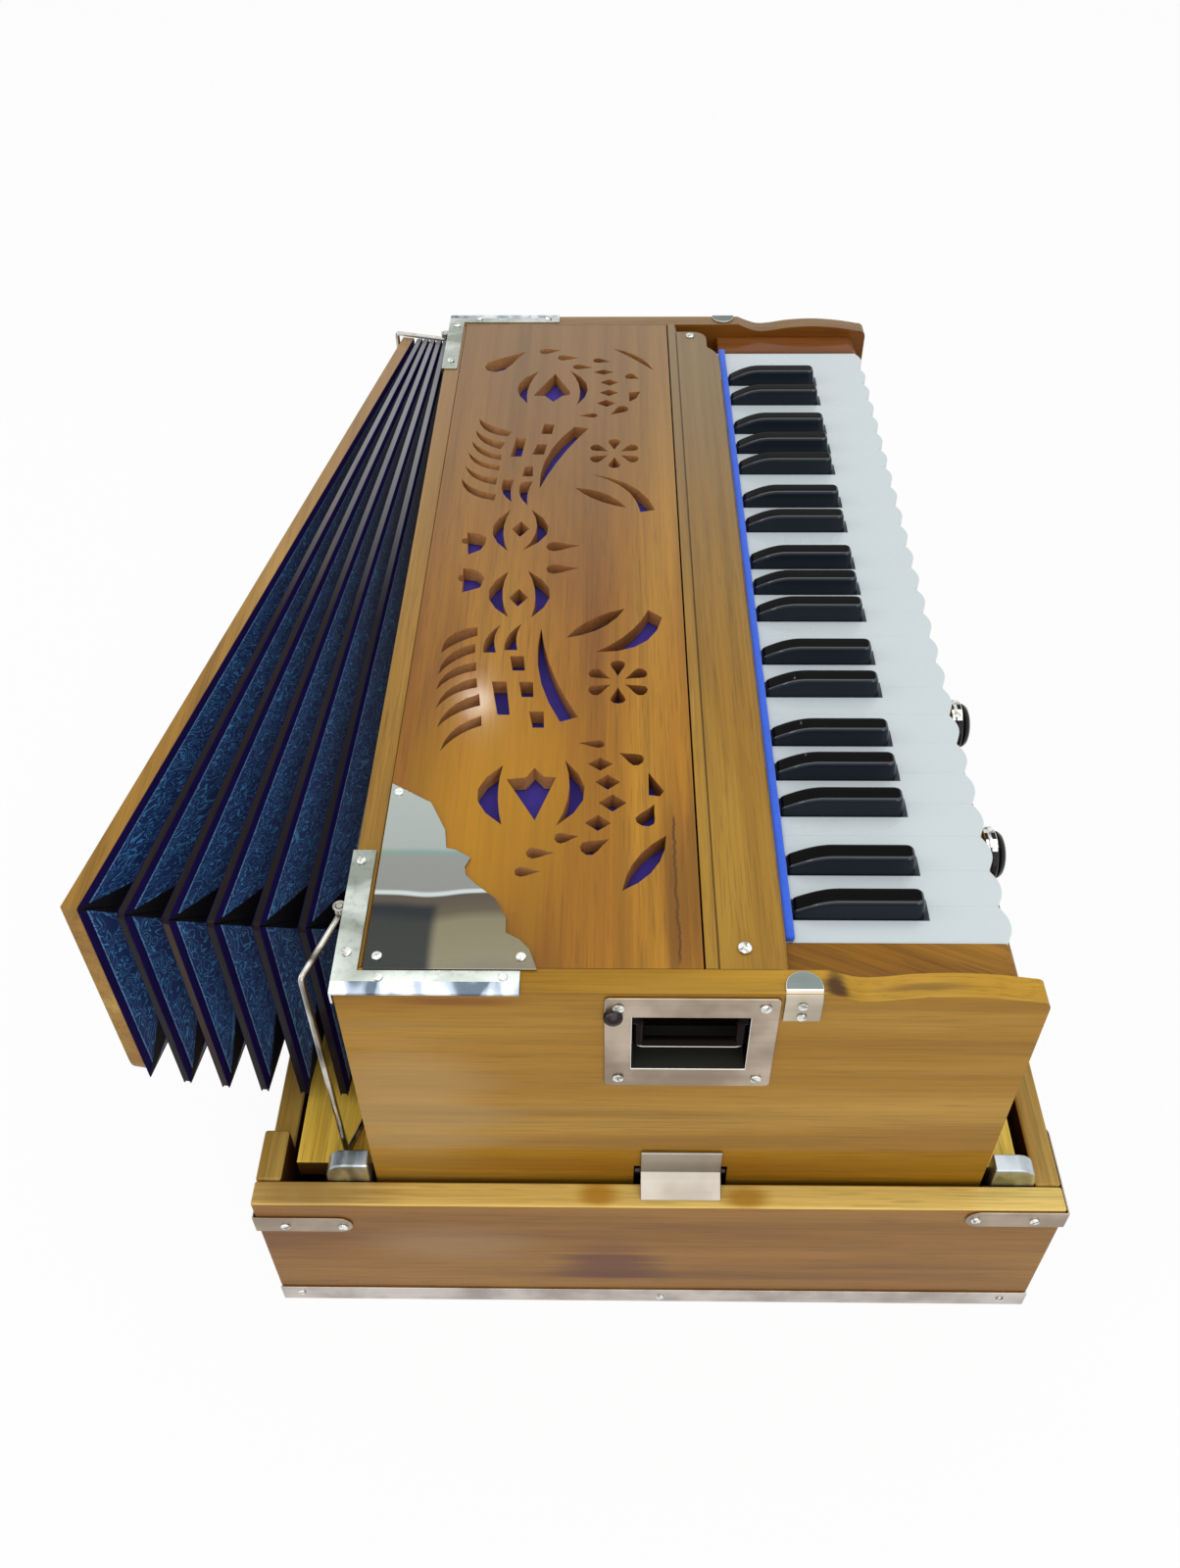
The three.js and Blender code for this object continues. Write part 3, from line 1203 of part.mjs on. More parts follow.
// Bellows. Each fold's group sits in the one before it, so the ribs and the board fan open as a chain.
function foldMatrix(count) {
  const step = new THREE.Matrix4().makeRotationZ(-foldAngle).setPosition(-FOLD_PITCH, 0, 0);
  const matrix = new THREE.Matrix4().setPosition(-caseBack, bellowsFar, 0);
  for (let k = 1; k <= count; k += 1) matrix.multiply(step);
  return matrix;
}

function buildRib(index) {
  const outer = block(-RIB_THICKNESS / 2, RIB_THICKNESS / 2, -bellowsLength, 0, bellowsBottom, bellowsTop);
  const inner = block(
    -RIB_THICKNESS, RIB_THICKNESS,
    -bellowsLength + RIB_BAR, -RIB_BAR,
    bellowsBottom + RIB_BAR, bellowsTop - RIB_BAR,
  );
  const rib = place(keyCase, `bellows_rib_${index}`, cut(outer, inner), ribCard);
  rib.applyMatrix4(foldMatrix(index));
}

function buildBellowsBoard() {
  const shape = new THREE.Shape();
  const [near, far] = [-bellowsLength, 0];
  shape.moveTo(far, bellowsBottom);
  shape.lineTo(far, bellowsTop);
  shape.lineTo(near, bellowsTop);
  shape.lineTo(near, bellowsBottom + BOARD_CORNER);
  shape.quadraticCurveTo(near, bellowsBottom, near + BOARD_CORNER, bellowsBottom);
  shape.closePath();
  const panel = acrossX(shape, -BOARD_THICKNESS, 0);
  const middleZ = (bellowsBottom + bellowsTop) / 2;
  const inlets = Array.from({ length: INLETS }, (_, k) => {
    const y = -bellowsLength / 2 + (k - (INLETS - 1) / 2) * INLET_SPACING;
    return rod([-BOARD_THICKNESS - OVERRUN, y, middleZ], [OVERRUN, y, middleZ], INLET_RADIUS, 16);
  });
  const board = place(keyCase, "bellows_board", cut(panel, ...inlets), teak);
  board.applyMatrix4(foldMatrix(FOLDS));
}

// The folded cloth: one ring of wall that goes in at each valley and out at each rib
function buildFolds() {
  const rings = [];
  const ringAt = (matrix, x, inset) => {
    const [near, far] = [-bellowsLength + inset, -inset];
    const [low, high] = [bellowsBottom + inset, bellowsTop - inset];
    return [[near, low], [far, low], [far, high], [near, high]].map(([y, z]) =>
      new THREE.Vector3(x, y, z).applyMatrix4(matrix),
    );
  };
  for (let k = 0; k <= 2 * FOLDS; k += 1) {
    const matrix = k % 2 ? foldMatrix(Math.floor(k / 2)).multiply(halfFold()) : foldMatrix(k / 2);
    const shift = k === 0 ? -FIT : k === 2 * FOLDS ? FIT : 0;
    const inset = k % 2 ? FOLD_DEPTH : RIB_BAR + FIT;
    rings.push([ringAt(matrix, shift, inset), ringAt(matrix, shift, inset + CLOTH_INSET)]);
  }
  const positions = [];
  const quad = (a, b, c, d) => positions.push(...[a, b, c, a, c, d].flatMap((p) => p.toArray()));
  const corners = rings[0][0].length;
  for (let j = 0; j < corners; j += 1) {
    const n = (j + 1) % corners;
    for (let k = 0; k < 2 * FOLDS; k += 1) {
      const [outer, inner] = rings[k];
      const [nextOuter, nextInner] = rings[k + 1];
      quad(outer[j], nextOuter[j], nextOuter[n], outer[n]);
      quad(inner[j], inner[n], nextInner[n], nextInner[j]);
    }
    const [firstOuter, firstInner] = rings[0];
    const [lastOuter, lastInner] = rings.at(-1);
    quad(firstOuter[j], firstOuter[n], firstInner[n], firstInner[j]);
    quad(lastOuter[j], lastInner[j], lastInner[n], lastOuter[n]);
  }
  const geometry = new THREE.BufferGeometry();
  geometry.setAttribute("position", new THREE.Float32BufferAttribute(positions, 3));
  geometry.computeVertexNormals();
  place(keyCase, "bellows_folds", geometry, bellowsCloth);
}

function halfFold() {
  return new THREE.Matrix4().makeRotationZ(-foldAngle / 2).setPosition(-FOLD_PITCH / 2, 0, 0);
}

buildTray();
buildTrayFittings();
buildBaseBoard();
for (const [end, side] of ENDS) {
  buildCheek(end, side);
  buildHandle(end, side);
  buildFlap(end, side);
  buildClip(end, side);
}
buildCaseBoards();
buildKeyFrame();
buildEndBlocks();
buildTop();
buildReeds();
buildKeys();
buildStops();
buildBracket("near", -1, nearBailY);
buildBracket("far", 1, farBailY);
buildCornerPlate();
buildBail("near", nearBailY, NEAR_BAIL_DEG, -1);
buildBail("far", farBailY, FAR_BAIL_DEG, 1);
for (let k = 1; k < FOLDS; k += 1) buildRib(k);
buildBellowsBoard();
buildFolds();

export default harmonium;
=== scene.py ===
import json
import math

import bpy
from mathutils import Matrix, Vector, noise


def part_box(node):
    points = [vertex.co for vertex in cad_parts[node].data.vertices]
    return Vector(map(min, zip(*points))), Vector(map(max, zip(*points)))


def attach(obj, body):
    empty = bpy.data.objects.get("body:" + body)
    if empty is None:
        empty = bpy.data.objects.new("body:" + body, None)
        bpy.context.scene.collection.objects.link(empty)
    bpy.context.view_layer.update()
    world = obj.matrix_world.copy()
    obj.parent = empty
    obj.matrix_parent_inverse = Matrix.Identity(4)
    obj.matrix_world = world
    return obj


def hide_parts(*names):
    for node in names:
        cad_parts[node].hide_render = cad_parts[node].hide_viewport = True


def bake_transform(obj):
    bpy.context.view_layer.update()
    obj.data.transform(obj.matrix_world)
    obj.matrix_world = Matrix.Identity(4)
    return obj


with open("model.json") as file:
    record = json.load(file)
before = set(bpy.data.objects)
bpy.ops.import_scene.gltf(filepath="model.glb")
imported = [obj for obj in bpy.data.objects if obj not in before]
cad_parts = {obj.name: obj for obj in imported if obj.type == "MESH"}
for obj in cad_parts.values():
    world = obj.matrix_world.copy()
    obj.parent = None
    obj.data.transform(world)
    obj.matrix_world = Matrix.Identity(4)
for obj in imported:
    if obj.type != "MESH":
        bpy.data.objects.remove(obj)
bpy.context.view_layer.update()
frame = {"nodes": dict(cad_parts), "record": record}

# An indian harmonium, raised in its travel tray. Metres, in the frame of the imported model.
MM = 0.001
NODES = frame["nodes"]
PIECES = {}

# Camera, lights and floor
PHOTO_HEIGHT = 1600
FOCAL_PIXELS = 1371.28
SENSOR = 36.0
CAMERA_PLACE = (-23.17 * MM, -611.63 * MM, 691.92 * MM)
CAMERA_YAW = math.radians(1.17)
CAMERA_PITCH = math.radians(-45.27)
CAMERA_ROLL = math.radians(0.65)
CAMERA_REACH = 50
FILL_STRENGTH = 0.5
FILL_COLOUR = (0.97, 0.99, 1.0, 1)
PAPER_COLOUR = (0.86, 0.86, 0.86, 1)
FLOOR_SIZE = 16
FLOOR_DROP = 0.4 * MM
FLOOR_GLOW_SHARE = 0.94
# name, place, target, size, power, colour
# The wide lamps are about as bright as the white round them, so lacquer and metal don't show their edges.
LAMPS = [
    ("ceiling lamp", (0.1, 0.0, 2.3), (0, 0, 0.2), (2.4, 2.4), 17, (1.0, 1.0, 1.0)),
    ("front lamp", (0.3, -2.1, 1.2), (0, -0.2, 0.15), (2.6, 2.2), 19, (1.0, 0.99, 0.97)),
    ("left lamp", (-2.0, -0.3, 1.2), (0, 0, 0.15), (1.7, 1.6), 9, (0.97, 0.98, 1.0)),
    ("spark left", (-0.9, -0.9, 2.0), (0, 0, 0.2), (0.24, 0.12), 1.6, (1.0, 1.0, 1.0)),
    ("spark right", (1.1, -0.5, 1.7), (0, 0, 0.2), (0.3, 0.1), 1.4, (1.0, 1.0, 1.0)),
    ("far bulb", (-0.285, 1.375, 1.58), (-0.09, -0.115, 0.25), (0.05, 0.03), 0.2, (1.0, 1.0, 1.0)),
]


def add_camera():
    bpy.ops.object.camera_add()
    camera = bpy.context.object
    turn = (
        Matrix.Rotation(CAMERA_YAW, 3, "Z")
        @ Matrix.Rotation(CAMERA_PITCH, 3, "X")
        @ Matrix.Rotation(CAMERA_ROLL, 3, "Y")
        @ Matrix.Rotation(math.radians(90), 3, "X")
    )
    camera.matrix_world = Matrix.Translation(CAMERA_PLACE) @ turn.to_4x4()
    camera.data.sensor_width = SENSOR
    camera.data.lens = FOCAL_PIXELS / PHOTO_HEIGHT * SENSOR
    camera.data.clip_end = CAMERA_REACH
    bpy.context.scene.camera = camera


def add_lamp(name, place, target, size, power, colour):
    bpy.ops.object.light_add(type="AREA", location=place)
    lamp = bpy.context.object
    lamp.name = name
    lamp.data.shape = "RECTANGLE"
    lamp.data.size, lamp.data.size_y = size
    lamp.data.energy = power
    lamp.data.color = colour
    direction = Vector(target) - Vector(place)
    lamp.rotation_euler = direction.to_track_quat("-Z", "Y").to_euler()


def seen_or_mirrored(tree):
    """1 for the camera's own rays and for those through glass or off gloss, 0 for light that falls."""
    rays = tree.nodes.new("ShaderNodeLightPath").outputs
    seen = rays["Is Camera Ray"]
    for kind in ("Is Glossy Ray", "Is Transmission Ray"):
        either = tree.nodes.new("ShaderNodeMath")
        either.operation = "MAXIMUM"
        tree.links.new(seen, either.inputs[0])
        tree.links.new(rays[kind], either.inputs[1])
        seen = either.outputs[0]
    return seen


def join_shaders(tree, share, first, second, output):
    mix = tree.nodes.new("ShaderNodeMixShader")
    tree.links.new(share, mix.inputs["Fac"])
    tree.links.new(first.outputs[0], mix.inputs[1])
    tree.links.new(second.outputs[0], mix.inputs[2])
    tree.links.new(mix.outputs[0], output.inputs["Surface"])


def add_world():
    world = bpy.data.worlds.new("studio")
    bpy.context.scene.world = world
    world.use_nodes = True
    tree = world.node_tree
    shown = tree.nodes["Background"]
    fill = tree.nodes.new("ShaderNodeBackground")
    for sky, colour, strength in ((shown, (1, 1, 1, 1), 1.0), (fill, FILL_COLOUR, FILL_STRENGTH)):
        sky.inputs["Color"].default_value = colour
        sky.inputs["Strength"].default_value = strength
    join_shaders(tree, seen_or_mirrored(tree), fill, shown, tree.nodes["World Output"])


def add_floor():
    bpy.ops.mesh.primitive_plane_add(size=FLOOR_SIZE, location=(0, 0, -FLOOR_DROP))
    floor = bpy.context.object
    floor.name = "floor"
    paper = Finish("white paper", Base_Color=PAPER_COLOUR, Roughness=0.9, Specular_IOR_Level=0.0)
    glow = paper.add("ShaderNodeEmission", Strength=1.0)
    share = paper.sum("MULTIPLY", seen_or_mirrored(paper.tree), FLOOR_GLOW_SHARE)
    join_shaders(paper.tree, share, paper.surface, glow, paper.tree.nodes["Material Output"])
    floor.data.materials.append(paper.material)


# Materials
class Finish:
    """A material, and the few node moves that the finishes below share."""

    def __init__(self, name, **sockets):
        self.material = bpy.data.materials.new(name)
        self.material.use_nodes = True
        self.tree = self.material.node_tree
        self.surface = self.tree.nodes["Principled BSDF"]
        for socket, value in sockets.items():
            self.surface.inputs[socket.replace("_", " ")].default_value = value

    def add(self, kind, links=None, **settings):
        node = self.tree.nodes.new(kind)
        for name, value in settings.items():
            if hasattr(node, name):
                setattr(node, name, value)
            else:
                node.inputs[name.replace("_", " ")].default_value = value
        for name, source in (links or {}).items():
            self.tree.links.new(source, node.inputs[name])
        return node

    def place(self, source=None, scale=(1, 1, 1), turn=(0, 0, 0), move=(0, 0, 0)):
        """Object coordinates, or the given ones, moved, turned and scaled."""
        if source is None:
            source = self.add("ShaderNodeTexCoord").outputs["Object"]
        node = self.add("ShaderNodeMapping", {"Vector": source})
        node.inputs["Location"].default_value = move
        node.inputs["Rotation"].default_value = turn
        node.inputs["Scale"].default_value = scale
        return node.outputs["Vector"]

    def cloud(self, where, scale, detail=3.0, rough=0.5, bend=0.0):
        node = self.add("ShaderNodeTexNoise", {"Vector": where}, Scale=scale, Detail=detail, Roughness=rough,
                        Distortion=bend)
        return node.outputs["Fac"]

    def sum(self, operation, first, second=0.0, third=0.0):
        node = self.tree.nodes.new("ShaderNodeMath")
        node.operation = operation
        for socket, value in zip(node.inputs, (first, second, third)):
            if isinstance(value, bpy.types.NodeSocket):
                self.tree.links.new(value, socket)
            else:
                socket.default_value = value
        return node.outputs[0]

    def step(self, source, start, end, low=0.0, high=1.0):
        """Low before start and high past end, with a soft change between them."""
        node = self.add("ShaderNodeMapRange", {"Value": source}, interpolation_type="SMOOTHSTEP")
        for socket, value in (("From Min", start), ("From Max", end), ("To Min", low), ("To Max", high)):
            node.inputs[socket].default_value = value
        return node.outputs["Result"]

    def axes(self):
        where = self.add("ShaderNodeTexCoord").outputs["Object"]
        node = self.add("ShaderNodeSeparateXYZ", {"Vector": where})
        return node.outputs["X"], node.outputs["Y"], node.outputs["Z"]

    def ramp(self, source, stops, smooth="LINEAR"):
        node = self.add("ShaderNodeValToRGB", {"Fac": source})
        node.color_ramp.interpolation = smooth
        elements = node.color_ramp.elements
        while len(elements) < len(stops):
            elements.new(0.5)
        for element, (place, colour) in zip(elements, stops):
            element.position = place
            level = colour if isinstance(colour, tuple) else (colour, colour, colour)
            element.color = (*level, 1)
        return node.outputs["Color"]

    def mix(self, factor, first, second, blend="MIX"):
        node = self.tree.nodes.new("ShaderNodeMix")
        node.data_type = "RGBA"
        node.blend_type = blend
        for name, value in (("Factor", factor), ("A", first), ("B", second)):
            socket = [i for i in node.inputs if i.name == name and i.enabled][0]
            if isinstance(value, bpy.types.NodeSocket):
                self.tree.links.new(value, socket)
            elif isinstance(value, tuple):
                socket.default_value = (*value, 1)
            else:
                socket.default_value = value
        return [o for o in node.outputs if o.enabled][0]

    def colour(self, source):
        self.tree.links.new(source, self.surface.inputs["Base Color"])

    def rough(self, source, low, high):
        node = self.add("ShaderNodeMapRange", {"Value": source})
        node.inputs["To Min"].default_value = low
        node.inputs["To Max"].default_value = high
        self.tree.links.new(node.outputs["Result"], self.surface.inputs["Roughness"])

    def bump(self, source, strength, depth):
        node = self.add("ShaderNodeBump", {"Height": source})
        node.inputs["Strength"].default_value = strength
        node.inputs["Distance"].default_value = depth
        self.tree.links.new(node.outputs["Normal"], self.surface.inputs["Normal"])


def faded(colour, factor):
    return tuple(min(1.0, factor * c) for c in colour)


GRAIN_TURNS = {
    "x": (0, 0, 0),
    "y": (0, 0, math.radians(-90)),
    "z": (0, math.radians(90), 0),
    "slant": (0, 0, math.radians(24)),
}


# The layers of a wood's grain: stretch of their noise, detail, roughness and bend
GRAIN_LAYERS = [
    ((1.5, 17, 17), 3.0, 0.5, 0.5),
    ((2.2, 120, 120), 5.0, 0.62, 0.25),
    ((14, 640, 640), 3.0, 0.6, 0.0),
    ((36, 1100, 1100), 1.0, 0.5, 0.0),
]
STREAK_STOPS = (0.75, [(0.3, 0.66), (0.5, 1.0), (0.7, 1.16)])
FIBRE_STOPS = (0.5, [(0.3, 0.72), (0.6, 1.1)])
PORE_STOPS = (0.4, [(0.33, 0.5), (0.42, 1.0)])
GRAIN_DEPTH = 0.1 * MM
CRACK_TONE = (0.035, 0.012, 0.004)
CRACK_WANDER = 5 * MM
CRACK_FADE = 4 * MM
STAIN_RAGGED = 1.6


def cracked(wood, tone, x, y, crack):
    """A dark wandering line along Y. crack is (x, y start, y end, half width)."""
    crack_x, start, end, half = crack
    bends = wood.cloud(wood.place(scale=(1, 90, 1)), 1.0, 4.0, 0.7)
    wander = wood.sum("MULTIPLY_ADD", bends, CRACK_WANDER, -0.5 * CRACK_WANDER)
    off = wood.sum("ABSOLUTE", wood.sum("SUBTRACT", wood.sum("ADD", x, wander), crack_x))
    ends = (wood.step(y, start - MM, start + CRACK_FADE), wood.step(y, end, end - CRACK_FADE))
    inside = wood.sum("MULTIPLY", *ends)
    line = wood.sum("MULTIPLY", wood.step(off, half, 0.4 * half), inside)
    return wood.mix(wood.sum("MULTIPLY", line, 0.85), tone, CRACK_TONE)


def stained(wood, tone, streaks, spot):
    """A ragged patch of another tone: a stain on some woods, painted shade and painted sheen on others. The
    spot is (middle, half sizes, tone, strength), its lengths in millimetres.
    """
    middle, halves, patch, share = spot
    scale = tuple(1 / (h * MM) for h in halves)
    local = wood.place(scale=scale, move=tuple(-(p * MM) * s for p, s in zip(middle, scale)))
    distance = wood.add("ShaderNodeVectorMath", {"Vector": local}, operation="LENGTH").outputs["Value"]
    ragged = wood.sum("MULTIPLY_ADD", wood.sum("SUBTRACT", streaks, 0.5), STAIN_RAGGED, distance)
    mask = wood.sum("MULTIPLY", wood.step(ragged, 1.0, 0.25), share)
    grained = wood.mix(0.5, patch, wood.ramp(streaks, [(0.3, 0.6), (0.7, 1.2)]), "MULTIPLY")
    return wood.mix(mask, tone, grained)


def lacquered_wood(name, grain, tones, gloss=0.3, shift=0.0, contrast=1.0, far_sheen=None, cracks=(), stain_and_light_spots=()):
    """Straight-grained teak under lacquer. grain is the axis that its fibres follow, tones are dark, middle
    and light, and the far fade (tone, y start, y end, share) is a painted sheen that pales it towards the
    far end."""
    wood = Finish(name, Roughness=0.5, Specular_IOR_Level=0.05, Coat_Weight=gloss, Coat_Roughness=0.09)
    base = wood.place(wood.place(turn=GRAIN_TURNS[grain]), move=(shift, shift * 0.7, shift * 0.3))
    broad, streaks, fibres, pores = (
        wood.cloud(wood.place(base, scale=stretch), 1.0, detail, rough, bend)
        for stretch, detail, rough, bend in GRAIN_LAYERS
    )
    done = wood.ramp(broad, list(zip((0.3, 0.5, 0.7), tones)), "EASE")
    for layer, (share, stops) in ((streaks, STREAK_STOPS), (fibres, FIBRE_STOPS), (pores, PORE_STOPS)):
        done = wood.mix(share * contrast, done, wood.ramp(layer, stops), "MULTIPLY")
    x, y, _ = wood.axes()
    # The fade towards the far end is a painted sheen.
    if far_sheen:
        far, start, end, share = far_sheen
        sheen_tone = wood.mix(0.6, far, wood.ramp(streaks, [(0.3, 0.72), (0.7, 1.15)]), "MULTIPLY")
        done = wood.mix(wood.step(y, start, end, 0.0, share), done, sheen_tone)
    for crack in cracks:
        done = cracked(wood, done, x, y, crack)
    for spot in stain_and_light_spots:
        done = stained(wood, done, streaks, spot)
    wood.colour(done)
    wood.bump(fibres, 0.1, GRAIN_DEPTH)
    return wood.material


def satin_metal(name, low, high, roughness, along=(4, 260, 260), patches=26.0):
    """Sheet metal, brushed one way, with clouded patches from its handling."""
    metal = Finish(name, Metallic=1.0, Roughness=roughness)
    grain = metal.cloud(metal.place(scale=along), 1.0, 4.0, 0.6)
    marks = metal.cloud(metal.place(), patches, 3.0, 0.55)
    tone = metal.ramp(marks, [(0.34, low), (0.66, high)], "EASE")
    metal.colour(metal.mix(0.5, tone, metal.ramp(grain, [(0.3, 0.82), (0.7, 1.14)]), "MULTIPLY"))
    metal.rough(grain, roughness - 0.08, roughness + 0.12)
    metal.bump(grain, 0.06, 0.05 * MM)
    return metal.material


def bright_metal(name, low, middle, high, roughness=0.16, bands=(30, 30, 60)):
    """Plated metal with soft bands of painted reflection and small specks."""
    metal = Finish(name, Metallic=1.0, Roughness=roughness)
    waves = metal.cloud(metal.place(scale=bands), 1.0, 1.5, 0.4, 0.7)
    marks = metal.cloud(metal.place(), 260.0, 3.0, 0.6)
    tone = metal.ramp(waves, [(0.36, low), (0.47, middle), (0.6, high)], "EASE")
    metal.colour(metal.mix(0.35, tone, metal.ramp(marks, [(0.34, 0.6), (0.5, 1.0)]), "MULTIPLY"))
    metal.rough(marks, roughness * 0.7, roughness * 1.5)
    metal.bump(marks, 0.03, 0.08 * MM)
    return metal.material


PLATE_NEAR = -281.1 * MM
PLATE_LENGTH = 106.6 * MM
PLATE_BEND = 11 * MM
# Painted reflection on the polished plate: a dark reflected patch and bands of tone along its length.
PLATE_SHADE = (0.022, 0.032, 0.042)
PLATE_SHADE_X = -97 * MM
PLATE_SHADE_SOFT = 5 * MM
PLATE_REFLECTED_BANDS = [
    (0.00, (0.26, 0.23, 0.18)), (0.07, (0.30, 0.27, 0.18)), (0.24, (0.27, 0.245, 0.155)),
    (0.29, (0.15, 0.125, 0.09)), (0.372, (0.12, 0.10, 0.08)), (0.381, (0.66, 0.74, 0.73)),
    (0.393, (0.60, 0.67, 0.66)), (0.402, (0.30, 0.305, 0.29)), (0.57, (0.31, 0.32, 0.30)),
    (0.595, (0.25, 0.37, 0.33)), (0.62, (0.41, 0.46, 0.43)), (1.00, (0.46, 0.51, 0.48)),
]


def mirror_plate(name):
    """Polished plate with painted reflection: broad, slightly bent bands of tone along its length, and a
    dark reflected patch beside its near part.
    """
    metal = Finish(name, Metallic=1.0, Roughness=0.07)
    x, y, _ = metal.axes()
    waves = metal.cloud(metal.place(scale=(26, 10, 1)), 1.0, 1.0, 0.4)
    bend = metal.sum("MULTIPLY_ADD", waves, PLATE_BEND, -0.5 * PLATE_BEND)
    share = metal.sum("DIVIDE", metal.sum("SUBTRACT", metal.sum("ADD", y, bend), PLATE_NEAR), PLATE_LENGTH)
    bands = metal.ramp(share, PLATE_REFLECTED_BANDS)
    beside = metal.step(metal.sum("ADD", x, bend), PLATE_SHADE_X + PLATE_SHADE_SOFT, PLATE_SHADE_X)
    shade = metal.sum("MULTIPLY", beside, metal.step(share, 0.36, 0.31))
    metal.colour(metal.mix(metal.sum("MULTIPLY", shade, 0.85), bands, PLATE_SHADE))
    dust = metal.cloud(metal.place(), 420.0, 3.0)
    metal.rough(dust, 0.04, 0.12)
    return metal.material


def moulded(name, tint, roughness, coat=0.0, level=0.5, mottle=0.06, unevenness=0.03):
    """Glossy moulded plastic or enamel, with slight unevenness."""
    plastic = Finish(name, Roughness=roughness, Specular_IOR_Level=level, Coat_Weight=coat,
                     Coat_Roughness=0.05)
    haze = plastic.cloud(plastic.place(), 30.0, 3.0)
    plastic.colour(plastic.mix(haze, faded(tint, 1 - mottle), tint))
    plastic.rough(haze, roughness * 0.8, roughness * 1.25)
    plastic.bump(haze, unevenness, 0.1 * MM)
    return plastic.material


# Painted shade on the bellows cloth towards the far end: where along Y, and its tone.
CLOTH_SHADE_SPAN = (-0.1, 0.16)
CLOTH_SHADE_TONE = (0.002, 0.002, 0.012)


def squiggled_cloth(name, ground, line, scale=120.0, turns=7.0, plenty=0.40):
    """Bellows cloth, navy with pale worm-like lines, on UVs in metres, with painted shade darkening its far
    end.
    """
    cloth = Finish(name, Roughness=0.62, Specular_IOR_Level=0.25, Sheen_Weight=0.15, Sheen_Roughness=0.4)
    flat = cloth.add("ShaderNodeTexCoord").outputs["UV"]
    height = cloth.cloud(cloth.place(flat, scale=(1, 0.8, 1)), scale, 1.0, 0.4, 1.3)
    folded = cloth.sum("PINGPONG", cloth.sum("MULTIPLY", height, turns), 0.5)
    drawn = cloth.step(folded, plenty - 0.05, plenty + 0.04)
    broken = cloth.step(cloth.cloud(cloth.place(flat), 300.0, 1.0), 0.32, 0.42, 0.35, 1.0)
    strength = cloth.sum("MULTIPLY", drawn, broken)
    worn = cloth.cloud(cloth.place(flat), 26.0, 3.0)
    under = cloth.mix(worn, faded(ground, 0.6), faded(ground, 1.2))
    lined = cloth.mix(strength, under, cloth.mix(worn, faded(line, 0.72), faded(line, 1.2)))
    _, y, _ = cloth.axes()
    cloth.colour(cloth.mix(cloth.step(y, *CLOTH_SHADE_SPAN, 0.0, 0.75), lined, CLOTH_SHADE_TONE))
    cloth.bump(strength, 0.3, 0.15 * MM)
    return cloth.material


def woven(name, tint, scale=900.0, roughness=0.8, sheen=0.2, level=0.2):
    """Plain cloth or tape: a fine weave in colour and in bump."""
    cloth = Finish(name, Roughness=roughness, Specular_IOR_Level=level, Sheen_Weight=sheen,
                   Sheen_Roughness=0.5)
    where = cloth.place()
    first, second = (
        cloth.add("ShaderNodeTexWave", {"Vector": where}, bands_direction=way, Scale=scale, Distortion=0.6)
        for way in "XY"
    )
    threads = cloth.mix(0.5, first.outputs["Color"], second.outputs["Color"])
    worn = cloth.mix(cloth.cloud(where, 60.0, 4.0), faded(tint, 0.6), faded(tint, 1.35))
    cloth.colour(cloth.mix(0.3, worn, threads, "MULTIPLY"))
    cloth.bump(threads, 0.3, 0.15 * MM)
    return cloth.material


def leather(name, tint):
    hide = Finish(name, Roughness=0.55, Specular_IOR_Level=0.15)
    where = hide.place()
    grain = hide.add("ShaderNodeTexVoronoi", {"Vector": where}, Scale=700.0)
    hide.colour(hide.mix(hide.cloud(where, 50.0, 4.0), tint, faded(tint, 2.0)))
    hide.bump(grain.outputs["Distance"], 0.3, 0.2 * MM)
    return hide.material


def felt(name, tint):
    cloth = Finish(name, Roughness=0.95, Sheen_Weight=0.3, Sheen_Roughness=0.6, Specular_IOR_Level=0.1)
    where = cloth.place()
    fluff = cloth.cloud(where, 900.0, 4.0, 0.7)
    tone = cloth.mix(cloth.cloud(where, 45.0, 3.0), faded(tint, 0.8), faded(tint, 1.08))
    cloth.colour(cloth.mix(0.6, tone, cloth.ramp(fluff, [(0.3, 0.7), (0.65, 1.1)]), "MULTIPLY"))
    cloth.bump(fluff, 0.5, 0.3 * MM)
    return cloth.material


# Tones of the woods: dark, middle and light
PANEL_TONES = ((0.215, 0.074, 0.003), (0.355, 0.143, 0.005), (0.46, 0.215, 0.012))
CUT_TONES = ((0.22, 0.080, 0.022), (0.40, 0.175, 0.060), (0.55, 0.28, 0.11))
COVER_TONES = ((0.20, 0.085, 0.004), (0.31, 0.15, 0.009), (0.39, 0.21, 0.020))
TEAK_TONES = ((0.24, 0.10, 0.006), (0.335, 0.162, 0.012), (0.43, 0.235, 0.035))
TRAY_TONES = ((0.16, 0.060, 0.014), (0.265, 0.118, 0.022), (0.36, 0.18, 0.036))
RIM_TONES = ((0.52, 0.31, 0.07), (0.80, 0.57, 0.16), (0.94, 0.74, 0.27))
RIM_LONG_TONES = ((0.37, 0.20, 0.033), (0.56, 0.365, 0.09), (0.71, 0.51, 0.16))
EDGE_TONES = ((0.235, 0.105, 0.012), (0.345, 0.18, 0.028), (0.47, 0.28, 0.065))
CHEEK_TOP_TONES = ((0.34, 0.165, 0.010), (0.49, 0.265, 0.024), (0.64, 0.38, 0.06))
FAR_TOP_TONES = ((0.14, 0.07, 0.025), (0.22, 0.125, 0.055), (0.32, 0.20, 0.10))
SHADED_TONES = ((0.10, 0.030, 0.004), (0.17, 0.056, 0.006), (0.26, 0.10, 0.012))
